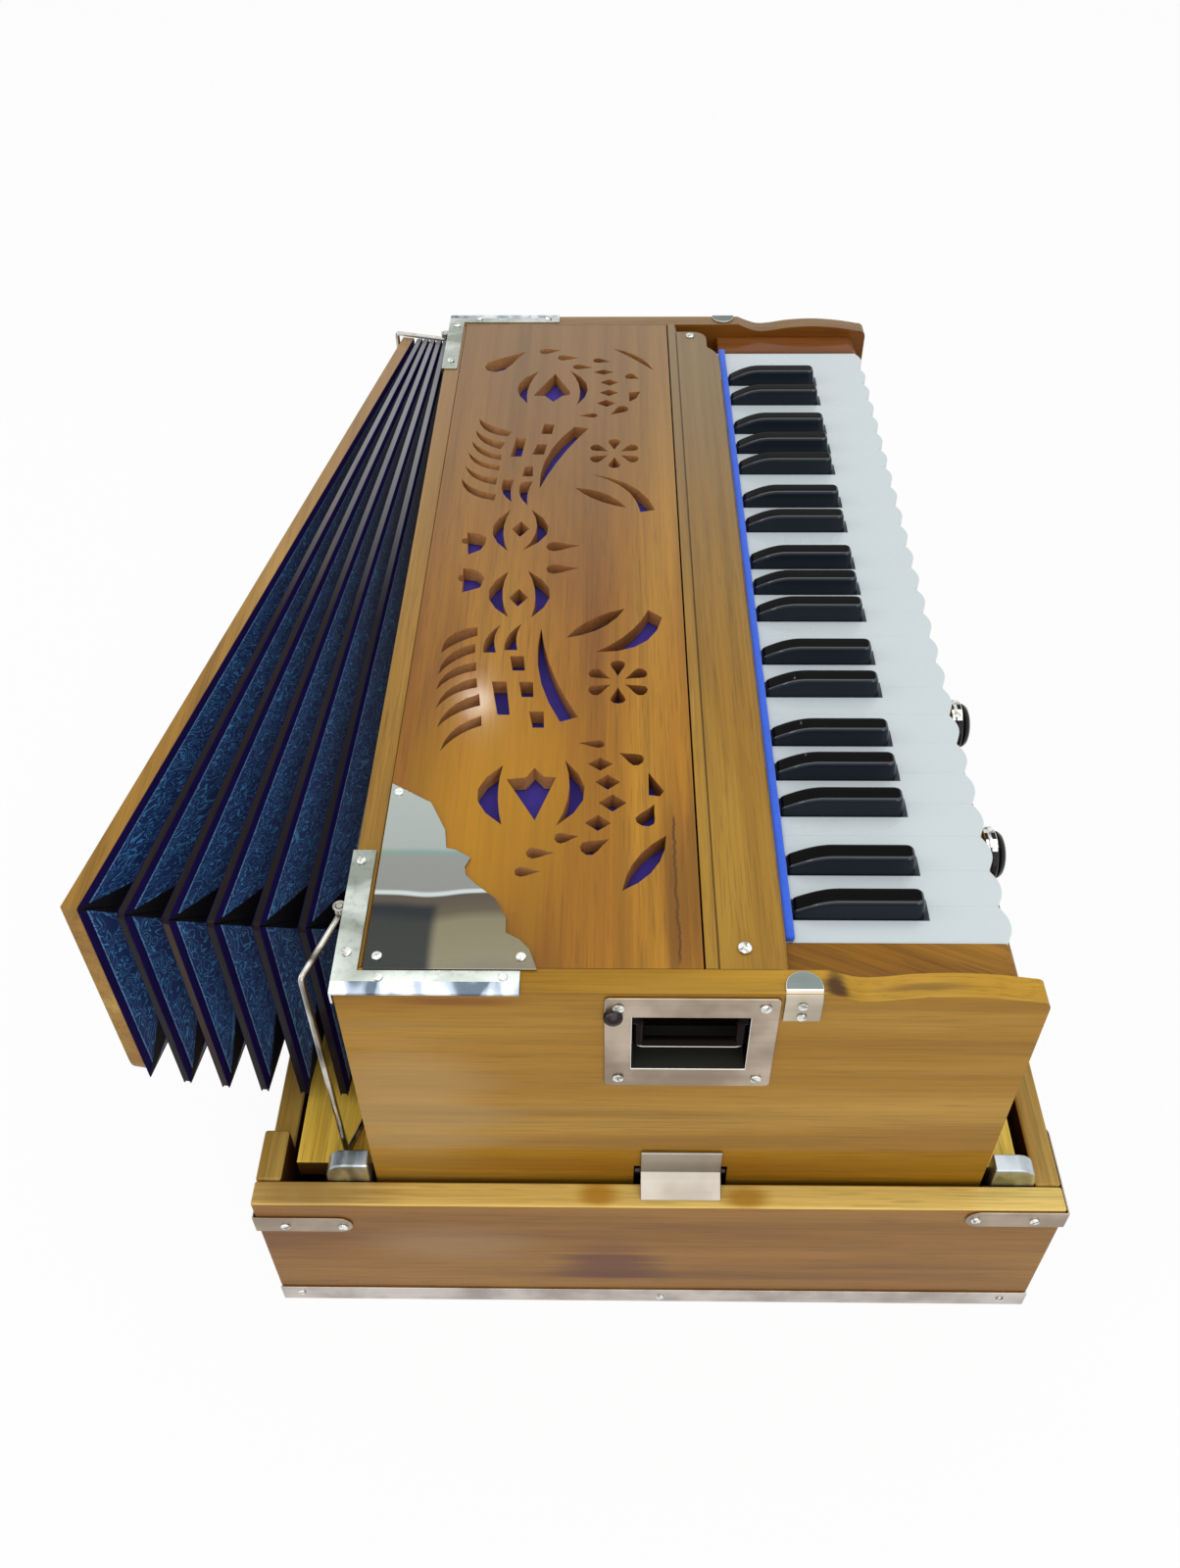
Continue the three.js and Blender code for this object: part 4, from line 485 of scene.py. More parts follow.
BLOCK_TONES = ((0.18, 0.065, 0.004), (0.265, 0.108, 0.006), (0.36, 0.17, 0.02))
SHADED_BLOCK_TONES = ((0.11, 0.030, 0.006), (0.20, 0.066, 0.014), (0.32, 0.13, 0.04))
END_GRAIN_TONES = ((0.03, 0.012, 0.004), (0.09, 0.035, 0.008), (0.2, 0.1, 0.03))
WELL_TONES = ((0.045, 0.014, 0.005), (0.10, 0.034, 0.010), (0.17, 0.066, 0.018))
# The deck's tones are raised past its pale teak: painted light against the shade of the bellows.
DECK_BRIGHTENED_TONES = ((0.60, 0.34, 0.04), (0.86, 0.60, 0.095), (0.97, 0.76, 0.20))
INNER_TONES = ((0.22, 0.13, 0.06), (0.34, 0.21, 0.10), (0.46, 0.30, 0.16))
RIB_TONES = ((0.006, 0.004, 0.004), (0.015, 0.010, 0.009), (0.22, 0.13, 0.06))
RIB_NEAR_TONES = ((0.003, 0.002, 0.003), (0.009, 0.007, 0.009), (0.06, 0.035, 0.02))
# Painted sheen: tones that woods fade to towards the far end, and where along Y
FADE = (-0.16, 0.27)
PANEL_FAR_SHEEN = ((0.25, 0.155, 0.078), *FADE, 0.8)
COVER_FAR_SHEEN = ((0.26, 0.185, 0.10), *FADE, 0.85)
EDGE_FAR_SHEEN = ((0.36, 0.235, 0.135), *FADE, 0.7)
RIB_FAR_SHEEN = ((0.34, 0.34, 0.35), -0.05, 0.2, 0.8)
PANEL_CRACK = (6.0 * MM, -277.5 * MM, -191.9 * MM, 0.8 * MM)
# Stains, and spots of painted shade and sheen: middle and half sizes in millimetres, tone, strength
# A darker patch on the right, and a painted sheen on the near left.
PANEL_PATCH_AND_SHEEN = (
    ((10, -235, 249), (17, 90, 20), (0.15, 0.055, 0.003), 0.6),
    ((-72, -190, 249), (60, 110, 20), (0.50, 0.235, 0.002), 0.6),
)
# A darker band under the top, a lighter patch, and painted shade along the foot.
CHEEK_PATCHES_AND_SHADE = (
    ((-84, -292, 243), (40, 20, 4.5), (0.22, 0.070, 0.012), 0.75),
    ((-112, -292, 165), (52, 20, 75), (0.46, 0.285, 0.105), 0.6),
    ((-20, -292, 112), (170, 20, 14), (0.24, 0.085, 0.008), 0.5),
)
# Painted shade at the step where the wave starts, and a darker line along the top.
CHEEK_TOP_SHADE_AND_LINE = (
    ((69, -286, 249), (7, 12, 12), (0.050, 0.016, 0.006), 0.9),
    ((100, -286, 249), (32, 3, 12), (0.11, 0.045, 0.012), 0.5),
)
TRAY_STAINS = (
    ((-22, -307, 42), (38, 20, 28), (0.13, 0.045, 0.022), 0.85),
    ((-100, -307, 60), (60, 20, 26), (0.36, 0.21, 0.095), 0.6),
)
RIM_STAINS = (
    ((-165, -300, 99), (62, 14, 12), (0.34, 0.19, 0.05), 0.85),
    ((-28, -300, 99), (14, 12, 12), (0.46, 0.20, 0.010), 0.8),
    ((42, -302, 99), (16, 10, 12), (0.42, 0.19, 0.010), 0.8),
)

PANEL_WOOD = lacquered_wood("fretted teak", "y", PANEL_TONES, gloss=0.5, shift=0.13, far_sheen=PANEL_FAR_SHEEN,
                            cracks=(PANEL_CRACK,), stain_and_light_spots=PANEL_PATCH_AND_SHEEN)
CUT_WOOD = lacquered_wood("cut teak", "y", CUT_TONES, gloss=0.0)
COVER_WOOD = lacquered_wood("cover teak", "y", COVER_TONES, gloss=0.5, shift=0.53, far_sheen=COVER_FAR_SHEEN)
EDGE_LONG = lacquered_wood("board edge along", "y", EDGE_TONES, shift=0.31, far_sheen=EDGE_FAR_SHEEN)
TEAK_LONG = lacquered_wood("teak along", "y", TEAK_TONES, shift=0.31)
TEAK_ACROSS = lacquered_wood("teak across", "x", TEAK_TONES, shift=0.77, contrast=0.8, stain_and_light_spots=CHEEK_PATCHES_AND_SHADE)
EDGE_ACROSS = lacquered_wood("board edge across", "x", CHEEK_TOP_TONES, shift=0.47, contrast=0.8,
                             stain_and_light_spots=CHEEK_TOP_SHADE_AND_LINE)
EDGE_SHADED = lacquered_wood("shaded board edge", "x", FAR_TOP_TONES)
SHADED_WOOD = lacquered_wood("shaded teak", "x", SHADED_TONES)
BLOCK_WOOD = lacquered_wood("block teak", "slant", BLOCK_TONES, shift=0.2, contrast=1.2)
SHADED_BLOCK = lacquered_wood("shaded block teak", "x", SHADED_BLOCK_TONES, shift=0.2)
STAIN_AND_SHADE_WOOD = lacquered_wood("stained and shaded end grain", "x", END_GRAIN_TONES, gloss=0.15)
WELL_WOOD = lacquered_wood("shaded tray inside", "y", WELL_TONES, gloss=0.2)
TRAY_ACROSS = lacquered_wood("tray teak across", "x", TRAY_TONES, shift=0.21, stain_and_light_spots=TRAY_STAINS)
TRAY_LONG = lacquered_wood("tray teak along", "y", TRAY_TONES, shift=0.91)
RIM_ACROSS = lacquered_wood("rim across", "x", RIM_TONES, gloss=0.2, shift=0.65, stain_and_light_spots=RIM_STAINS)
RIM_LONG = lacquered_wood("rim along", "y", RIM_LONG_TONES, gloss=0.2, shift=0.05)
DECK_WOOD = lacquered_wood("deck teak", "y", DECK_BRIGHTENED_TONES, gloss=0.2, shift=0.43, contrast=1.2)
INNER_WOOD = lacquered_wood("bare inner wood", "y", INNER_TONES, gloss=0.0)
RIB_WOOD = lacquered_wood("rib edge", "y", RIB_TONES, gloss=0.06, far_sheen=RIB_FAR_SHEEN)
RIB_NEAR = lacquered_wood("darker rib edge", "z", RIB_NEAR_TONES, gloss=0.12)

HANDLE_STEEL = satin_metal("handle plate", (0.29, 0.225, 0.165), (0.52, 0.43, 0.34), 0.32)
STRAP_STEEL = satin_metal("strap steel", (0.29, 0.225, 0.165), (0.44, 0.36, 0.28), 0.34)
FOOT_STEEL = satin_metal("foot strip", (0.34, 0.29, 0.26), (0.58, 0.52, 0.48), 0.24, along=(9, 60, 400))
FLAP_STEEL = satin_metal("flap steel", (0.33, 0.29, 0.25), (0.43, 0.39, 0.34), 0.36)
CLIP_STEEL = satin_metal("clip steel", (0.42, 0.37, 0.29), (0.60, 0.53, 0.42), 0.34)
CLIP_TOP = satin_metal("clip top", (0.135, 0.165, 0.155), (0.195, 0.23, 0.22), 0.26)
# A bright tint for painted highlights on metal edges.
EDGE_HIGHLIGHT_METAL = satin_metal("painted edge highlight", (0.70, 0.70, 0.68), (0.86, 0.86, 0.85), 0.2)
# The plated metals carry soft bands of painted reflection.
BRACKET_METAL = bright_metal("bracket plating", (0.30, 0.33, 0.28), (0.46, 0.50, 0.45), (0.60, 0.65, 0.60))
BRACKET_RIM_REFLECTION = bright_metal("bracket rim, painted reflection", (0.10, 0.13, 0.17), (0.36, 0.42, 0.50), (0.78, 0.82, 0.86),
                           roughness=0.12, bands=(70, 30, 60))
LUG_METAL = bright_metal("lug plating", (0.28, 0.31, 0.31), (0.44, 0.49, 0.52), (0.66, 0.71, 0.73),
                         roughness=0.3, bands=(70, 20, 30))
WIRE_METAL = bright_metal("plated wire", (0.12, 0.11, 0.095), (0.30, 0.28, 0.25), (0.56, 0.54, 0.50),
                          roughness=0.14, bands=(90, 90, 40))
SCREW_METAL = bright_metal("screw metal", (0.34, 0.34, 0.31), (0.66, 0.67, 0.64), (0.86, 0.86, 0.84),
                           roughness=0.18, bands=(300, 300, 300))
BRASS = bright_metal("brass", (0.30, 0.20, 0.06), (0.55, 0.38, 0.12), (0.70, 0.52, 0.20), roughness=0.25)
DARK_METAL = bright_metal("dark metal", (0.012, 0.010, 0.012), (0.035, 0.028, 0.030), (0.08, 0.068, 0.07),
                          roughness=0.2)
PLATE_MIRROR = mirror_plate("mirror plate")
WHITE_KEY = moulded("white key", (0.61, 0.675, 0.69), 0.28, coat=0.2, mottle=0.01, unevenness=0.0)
BLACK_TOP = moulded("black key top", (0.0016, 0.0016, 0.002), 0.07, level=0.06)
# Lit copies of the black: a painted bluish reflection on the sides and a painted highlight on the rounded
# edges.
BLACK_SIDE_SHEEN = moulded("black key side, painted reflection", (0.012, 0.017, 0.025), 0.12, level=0.12)
BLACK_EDGE_GLINT = moulded("black key edge, painted highlight", (0.035, 0.042, 0.050), 0.1, level=0.5)
# Painted shade inside the handle cups, lighter on their floors.
CUP_FLOOR_SHADE = moulded("cup floor, painted shade", (0.035, 0.036, 0.030), 0.3, level=0.04)
CUP_WALL_SHADE = moulded("cup wall, painted shade", (0.005, 0.0035, 0.003), 0.3, level=0.0)
GRIP_ENAMEL = moulded("grip enamel", (0.008, 0.004, 0.0045), 0.2, level=0.03)
# A pale tint for a painted highlight on the handle grips.
GRIP_HIGHLIGHT = moulded("grip highlight", (0.72, 0.71, 0.69), 0.3)
BLACK_KNOB = moulded("black knob", (0.008, 0.007, 0.008), 0.14, level=0.2)
NAVY_CLOTH = squiggled_cloth("navy cloth", (0.004, 0.022, 0.115), (0.055, 0.235, 0.46))
PALE_EDGE = squiggled_cloth("cloth edge", (0.04, 0.12, 0.30), (0.16, 0.36, 0.58), scale=260.0, plenty=0.2)
PURPLE_TAPE = woven("purple tape", (0.012, 0.006, 0.070), roughness=0.7, sheen=0.0, level=0.05)
VIOLET_CLOTH = woven("violet cloth", (0.052, 0.032, 0.33), scale=700.0)
BLACK_LEATHER = leather("black leather", (0.0035, 0.003, 0.004))
BLUE_FELT = felt("blue felt", (0.04, 0.16, 0.97))


# Modelling helpers
NEAR = 0.1 * MM


def pick_only(piece):
    if bpy.context.object and bpy.context.object.mode != "OBJECT":
        bpy.ops.object.mode_set(mode="OBJECT")
    bpy.ops.object.select_all(action="DESELECT")
    piece.select_set(True)
    bpy.context.view_layer.objects.active = piece


def edit(piece, kind="VERT", test=None):
    """Edit mode on a piece. test picks vertices by their place, or edges by their middle and direction."""
    pick_only(piece)
    mesh = piece.data
    for parts in (mesh.vertices, mesh.edges, mesh.polygons):
        parts.foreach_set("select", [False] * len(parts))
    if test and kind == "VERT":
        for vertex in mesh.vertices:
            vertex.select = test(vertex.co)
    if test and kind == "EDGE":
        for edge in mesh.edges:
            a, b = (mesh.vertices[k].co for k in edge.vertices)
            edge.select = test((a + b) / 2, (b - a).normalized())
    bpy.context.tool_settings.mesh_select_mode = (kind == "VERT", kind == "EDGE", False)
    bpy.ops.object.mode_set(mode="EDIT")
    if not test:
        bpy.ops.mesh.select_all(action="SELECT")


def leave_edit():
    bpy.ops.object.mode_set(mode="OBJECT")


def cut(piece, place, direction, **more):
    """Cuts a piece's faces with a plane; clear_outer takes away what lies past it."""
    edit(piece)
    bpy.ops.mesh.bisect(plane_co=place, plane_no=direction, **more)
    leave_edit()


def apply_modifiers(piece):
    pick_only(piece)
    for modifier in list(piece.modifiers):
        bpy.ops.object.modifier_apply(modifier=modifier.name)


def settle(piece, name):
    """Puts a piece's place into its mesh and gives it its name."""
    pick_only(piece)
    bpy.ops.object.transform_apply(location=True, rotation=True, scale=True)
    piece.name = name
    piece.data.name = name
    return piece


def bevel(piece, width, segments=2, angle=30, profile=0.5):
    modifier = piece.modifiers.new("rounding", "BEVEL")
    modifier.width = width
    modifier.segments = segments
    modifier.limit_method = "ANGLE"
    modifier.angle_limit = math.radians(angle)
    modifier.profile = profile
    apply_modifiers(piece)


def round_corners(piece, radius, segments, test):
    """Rounds the edges that pass the test, before the rest is softened."""
    edit(piece, "EDGE", test)
    bpy.ops.mesh.bevel(offset=radius, segments=segments, affect="EDGES")
    leave_edit()


def smooth(piece, angle=40, even=True):
    """Shades a piece smooth but for its sharp edges; even keeps flat faces flat to the eye."""
    pick_only(piece)
    bpy.ops.object.shade_smooth_by_angle(angle=math.radians(angle))
    if even:
        modifier = piece.modifiers.new("even shading", "WEIGHTED_NORMAL")
        modifier.keep_sharp = True
        apply_modifiers(piece)


def paint(piece, *materials):
    piece.data.materials.clear()
    for material in materials:
        piece.data.materials.append(material)


def paint_faces(piece, choose):
    """choose gives a face's material number from its middle and normal."""
    for face in piece.data.polygons:
        face.material_index = choose(face.center, face.normal)


def finished(piece, name, body, slot, *materials):
    settle(piece, name)
    if materials:
        paint(piece, *materials)
    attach(piece, body)
    PIECES[name] = piece
    return piece


def linked(name, data):
    piece = bpy.data.objects.new(name, data)
    bpy.context.scene.collection.objects.link(piece)
    return piece


def body_holding(node):
    for body, nodes in frame["record"]["behaviour"]["bodies"].items():
        if node in nodes:
            return body
    raise ValueError(node)


def slot_of(node):
    for row in frame["record"]["subparts"]:
        if row["node"] == node:
            return row["material_slot"]
    raise ValueError(node)


def clean_copy(node, name):
    """A copy of a CAD node's mesh with its doubles merged and its flat faces made whole."""
    piece = linked(name, NODES[node].data.copy())
    edit(piece)
    bpy.ops.mesh.remove_doubles(threshold=0.002 * MM)
    bpy.ops.mesh.dissolve_limited(angle_limit=math.radians(0.3))
    leave_edit()
    return piece


def stand_for(piece, node, name, width, *materials, segments=2, angle=30, shade=40, choose=None):
    """Softens a shaped copy of a CAD node, paints it, and lets it stand for the node."""
    bevel(piece, width, segments, angle)
    smooth(piece, shade)
    finished(piece, name, body_holding(node), slot_of(node), *materials)
    if choose:
        paint_faces(piece, choose)
    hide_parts(node)
    return piece


def dressed(node, name, width, *materials, **more):
    return stand_for(clean_copy(node, name), node, name, width, *materials, **more)


def give(node, material):
    """A CAD node that keeps its shape gets its material."""
    for slot in NODES[node].material_slots:
        slot.link = "OBJECT"
        slot.material = material


def mesh_piece(name, points, edges=(), faces=()):
    data = bpy.data.meshes.new(name)
    data.from_pydata([tuple(p) for p in points], edges, faces)
    data.update()
    return linked(name, data)


def copy_piece(source, name, move=(0, 0, 0)):
    piece = linked(name, source.data.copy())
    piece.location = move
    return piece


# Wooden parts
WALL_END_ROUND = 1.3 * MM
WALL_SIDE_ROUND = 1.6 * MM
CHEEK_ROUND = 1.6 * MM
BLOCK_ROUND = 0.8 * MM
DECK_ROUND = 1.0 * MM
BACK_ROUND = 1.4 * MM
FRONT_ROUND = 1.2 * MM
COVER_ROUND = 0.35 * MM
OUTER_ROUND = 1.8 * MM
FRET_ROUND = 0.3 * MM
RIM_HEIGHT = 99 * MM
RIM_FROM = 0.8 * RIM_HEIGHT
SIDE_WALL = 170 * MM
END_WALL = 285 * MM
NOTCH_END = 264 * MM
CHEEK_TOP = 240 * MM
BOARD_EDGE = 238 * MM


def is_up(normal):
    return normal.z > 0.6


def rim_or_stain(middle, normal):
    """A tray wall's rim, its shaded inner face, and the stained ends of the bellows side's low part."""
    if abs(normal.y) > 0.4 and abs(middle.y) < NOTCH_END and middle.z > RIM_FROM:
        return 2
    if is_up(normal) and middle.z > RIM_FROM:
        return 1
    inward = abs(middle.x) > SIDE_WALL and math.copysign(1, middle.x) * normal.x < -0.7
    endward = abs(middle.y) > END_WALL and math.copysign(1, middle.y) * normal.y < -0.7
    return 3 if inward or endward else 0


def cheek_top(middle, normal):
    return int(middle.z > CHEEK_TOP and normal.z > 0.35)


def build_wood():
    ends = (
        ("near", TEAK_ACROSS, EDGE_ACROSS, BLOCK_WOOD),
        ("far", SHADED_WOOD, EDGE_SHADED, SHADED_BLOCK),
    )
    for end, wood, edge, block in ends:
        dressed(f"tray_{end}_wall", f"tray_wall_{end}", WALL_END_ROUND,
                TRAY_ACROSS, RIM_ACROSS, STAIN_AND_SHADE_WOOD, WELL_WOOD, segments=3, choose=rim_or_stain)
        dressed(f"{end}_cheek", f"cheek_{end}", CHEEK_ROUND, wood, edge, segments=3, angle=50,
                choose=cheek_top)
        dressed(f"{end}_end_block", f"end_block_{end}", BLOCK_ROUND, block)
    for side in ("left", "right"):
        dressed(f"tray_{side}_wall", f"tray_wall_{side}", WALL_SIDE_ROUND,
                TRAY_LONG, RIM_LONG, STAIN_AND_SHADE_WOOD, WELL_WOOD, segments=3, choose=rim_or_stain)
    # The deck's sides get the dark end grain as painted shade.
    dressed("base_board", "deck", DECK_ROUND, DECK_WOOD, STAIN_AND_SHADE_WOOD,
            choose=lambda middle, normal: int(abs(normal.z) < 0.5))
    dressed("back_board", "case_back", BACK_ROUND, TEAK_LONG, EDGE_LONG, segments=3,
            choose=lambda middle, normal: int(is_up(normal)))
    dressed("front_board", "case_front", FRONT_ROUND, TEAK_LONG)
    dressed("cover_board", "cover", COVER_ROUND, COVER_WOOD, angle=50)
    dressed("bellows_board", "bellows_outer_board", OUTER_ROUND, TEAK_LONG, EDGE_LONG, segments=3, angle=50,
            choose=lambda middle, normal: int(middle.z > BOARD_EDGE or abs(normal.y) > 0.6))
    for node in ("tray_floor", "key_frame", "reed_board"):
        give(node, INNER_WOOD)
    give("reed_plate", BRASS)


def build_fret_panel():
    low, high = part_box("fret_panel")

    def in_the_cut(middle, normal):
        within = all(low[k] + MM < middle[k] < high[k] - MM for k in (0, 1))
        return int(within and abs(normal.z) < 0.5)

    dressed("fret_panel", "fretwork", FRET_ROUND, PANEL_WOOD, CUT_WOOD, angle=60, shade=35,
            choose=in_the_cut)


CLOTH_CUTS = (28, 90)
CLOTH_LAP = 0.1 * MM
CLOTH_SAG = 0.35 * MM
SAG_WAVES = 30
CLOTH_THICKNESS = 0.4 * MM


def build_fret_cloth():
    """The cloth under the fretwork, stretched, with a slight sag between its glued edges."""
    low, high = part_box("fret_cloth")
    size = (high[0] - low[0], high[1] - low[1])
    bpy.ops.mesh.primitive_grid_add(x_subdivisions=CLOTH_CUTS[0], y_subdivisions=CLOTH_CUTS[1], size=1)
    cloth = bpy.context.object
    cloth.scale = (*size, 1)
    cloth.location = ((low[0] + high[0]) / 2, (low[1] + high[1]) / 2, high[2] - CLOTH_LAP)
    settle(cloth, "fretwork_cloth")
    for vertex in cloth.data.vertices:
        across = (vertex.co.x - low[0]) / size[0]
        wave = noise.noise(Vector((vertex.co.x, vertex.co.y, 0)) * SAG_WAVES)
        vertex.co.z -= CLOTH_SAG * (4 * across * (1 - across)) * (0.7 + 0.5 * wave)
    modifier = cloth.modifiers.new("cloth thickness", "SOLIDIFY")
    modifier.thickness = CLOTH_THICKNESS
    modifier.offset = -1
    apply_modifiers(cloth)
    smooth(cloth, 60, even=False)
    finished(cloth, "fretwork_cloth", "case", "violet_cloth", VIOLET_CLOTH)
    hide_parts("fret_cloth")


FELT_CUTS = 60
FELT_ROUND = 1.1 * MM
FELT_LIFT = 0.35 * MM
FELT_LIFT_WAVES = 45
FELT_DENT = 0.2 * MM
FELT_DENT_WAVES = 60


def build_felt():
    strip = clean_copy("key_felt", "felt_strip")
    bevel(strip, FELT_ROUND, 4, 30)
    low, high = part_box("key_felt")
    for step in range(1, FELT_CUTS):
        cut(strip, (0, low[1] + (high[1] - low[1]) * step / FELT_CUTS, 0), (0, 1, 0))
    for vertex in strip.data.vertices:
        if vertex.co.z > (low[2] + high[2]) / 2:
            vertex.co.z += FELT_LIFT * (noise.noise(Vector((0, vertex.co.y * FELT_LIFT_WAVES, 3))) - 0.5)
            vertex.co.x += FELT_DENT * min(0, noise.noise(Vector((7, vertex.co.y * FELT_DENT_WAVES, 3))))
    smooth(strip, 70, even=False)
    finished(strip, "felt_strip", "case", "blue_felt", BLUE_FELT)
    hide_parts("key_felt")


# Keys
WHITE_KEYS = 25
END_BLOCK_SIDE = 257.5 * MM
PITCH = 2 * END_BLOCK_SIDE / WHITE_KEYS
NARROW_OFFSET = 0.1165 * PITCH
WIDE_OFFSET = 0.1456 * PITCH
SHARPS = {
    "c_sharp": (0, -NARROW_OFFSET),
    "d_sharp": (1, NARROW_OFFSET),
    "f_sharp": (3, -WIDE_OFFSET),
    "g_sharp": (4, 0.0),
    "a_sharp": (5, WIDE_OFFSET),
}
OCTAVE_KEYS = 7
KEY_TOP = 239 * MM
KEY_SIDE = 0.25 * MM
KEY_SIDE_SHOWN = 0.02 * MM
WHITE_ROUND = 0.06 * MM
LEVER_ROUND = 0.2 * MM
SHARP_FRONT = 113.4 * MM
SHARP_REAR = 56.1 * MM
SHARP_TOP = 249.2 * MM
SHARP_WIDTH = 11.2 * MM
SHARP_FOOT = 235.9 * MM
SHARP_BED = 235.8 * MM
SHARP_TOP_SHARE = 0.8
SHARP_NOSE_LEAN = 1.6 * MM
SHARP_NOSE_ROUND = 3.6 * MM
SHARP_REAR_RISE = 3.4 * MM
SHARP_RAMP = 20 * MM
RAMP_CUTS = 8
RAMP_POWER = 0.95
SHARP_SOFT = 1.8 * MM


def build_naturals():
    """The white keys' tops, a hair wider than the levers that carry them, so that they meet."""
    for note in "cdefgab":
        node = f"keys_{note}"
        piece = clean_copy(node, f"naturals_{note}")
        for vertex in piece.data.vertices:
            line = -END_BLOCK_SIDE + round((vertex.co.y + END_BLOCK_SIDE) / PITCH) * PITCH
            off = vertex.co.y - line
            if abs(abs(off) - KEY_SIDE) < NEAR:
                vertex.co.y = line + math.copysign(KEY_SIDE_SHOWN, off)
        stand_for(piece, node, f"naturals_{note}", WHITE_ROUND, WHITE_KEY, angle=40, shade=35)


def first_sharp():
    """A black key about y = 0: a bar with a round nose, leaning sides, a ramp behind and soft edges."""
    middle = ((SHARP_FRONT + SHARP_REAR) / 2, 0, (SHARP_FOOT + SHARP_TOP) / 2)
    bpy.ops.mesh.primitive_cube_add(size=1, location=middle)
    key = bpy.context.object
    length = SHARP_FRONT - SHARP_REAR
    key.scale = (length, SHARP_WIDTH, SHARP_TOP - SHARP_FOOT)
    settle(key, "sharp model")
    round_corners(key, SHARP_NOSE_ROUND, 7,
                  lambda place, way: abs(way.z) > 0.9 and place.x > SHARP_FRONT - NEAR)
    edit(key, "VERT", lambda place: place.z > SHARP_TOP - NEAR)
    lean = ((length - SHARP_NOSE_LEAN) / length, SHARP_TOP_SHARE, 1)
    bpy.ops.transform.resize(value=lean, center_override=(SHARP_REAR, 0, SHARP_TOP))
    leave_edit()
    for step in range(1, RAMP_CUTS + 1):
        cut(key, (SHARP_REAR + SHARP_RAMP * step / RAMP_CUTS, 0, 0), (1, 0, 0))
    start = KEY_TOP + SHARP_REAR_RISE
    for vertex in key.data.vertices:
        share = max(0.0, (vertex.co.x - SHARP_REAR) / SHARP_RAMP)
        if vertex.co.z > SHARP_TOP - NEAR and share < 1:
            vertex.co.z = start + (SHARP_TOP - start) * math.sin(share * math.pi / 2) ** RAMP_POWER
    bevel(key, SHARP_SOFT, 4, 40)
    smooth(key, 60)
    return key


def top_side_or_edge(middle, normal):
    """A black key's top, its sides with a painted bluish reflection, and the rounded edge between them with
    a painted highlight.
    """
    if normal.z > 0.93 or (normal.z > 0.5 and abs(normal.y) < 0.3 and normal.x < 0):
        return 0
    return 2 if normal.z > 0.6 else 1


def build_sharps():
    model = first_sharp()
    for note, (white, offset) in SHARPS.items():
        for octave, index in enumerate(range(white + 1, WHITE_KEYS, OCTAVE_KEYS), start=1):
            key = copy_piece(model, "sharp copy", (0, -END_BLOCK_SIDE + index * PITCH + offset, 0))
            finished(key, f"{note}_{octave}", f"keys_{note}", "black_key",
                     BLACK_TOP, BLACK_SIDE_SHEEN, BLACK_EDGE_GLINT)
            paint_faces(key, top_side_or_edge)
        levers = clean_copy(f"keys_{note}", f"sharp_levers_{note}")
        cut(levers, (0, 0, SHARP_BED), (0, 0, 1), use_fill=True, clear_outer=True)
        stand_for(levers, f"keys_{note}", f"sharp_levers_{note}", LEVER_ROUND, WHITE_KEY)
    bpy.data.objects.remove(model)


# Metal fittings
SHEET_ROUND = 0.25 * MM
BRACKET_ROUND = 0.4 * MM
PLATE_ROUND = 0.35 * MM
PLATE_CORNER = 2.2 * MM
FLAP_ROUND = 0.45 * MM
MIRROR_ROUND = 0.3 * MM
LUG_ROUND = 0.9 * MM
HANDLE_X = 10.8 * MM
HANDLE_Z = 215.4 * MM
HANDLE_FACE = 292.8 * MM
PLATE_HALF = (35.8 * MM, 31.8 * MM)
MOUTH_HALF = (24.3 * MM, 18.8 * MM)
MOUTH_RIM = 0.6 * MM
FACE_DEPTH = 0.3 * MM
EDGE_DEPTH = 0.7 * MM
CLIP_FLAT = 249.6 * MM
CLIP_BEND = 246.8 * MM
CLIP_EDGE = 291.6 * MM
CLIP_SLOPE = 2.6 * MM


def plate_corner(place, way):
    off = (abs(place.x - HANDLE_X) - PLATE_HALF[0], abs(place.z - HANDLE_Z) - PLATE_HALF[1])
    return abs(way.y) > 0.9 and max(abs(off[0]), abs(off[1])) < NEAR


def plate_or_cup(middle, normal):
    """The plate's face, a painted highlight on the edge round its mouth, and painted shade inside the cup,
    lighter on its floor.
    """
    across, up = abs(middle.x - HANDLE_X), abs(middle.z - HANDLE_Z)
    outside = across > MOUTH_HALF[0] + MOUTH_RIM or up > MOUTH_HALF[1] + MOUTH_RIM
    if outside or (abs(normal.y) > 0.95 and abs(middle.y) > HANDLE_FACE - FACE_DEPTH):
        return 0
    if abs(middle.y) > HANDLE_FACE - EDGE_DEPTH:
        return 1
    return 3 if normal.z > 0.6 else 2


FLAP_X = 11.2 * MM
FLAP_HALF = 19 * MM
BRACKET_FOLD = 287.2 * MM
BRACKET_EDGE = 292.6 * MM
BRACKET_FLAT = 250.3 * MM
BRACKET_SLOPE = 0.6 * MM
EYE_SIDE = -136.5 * MM


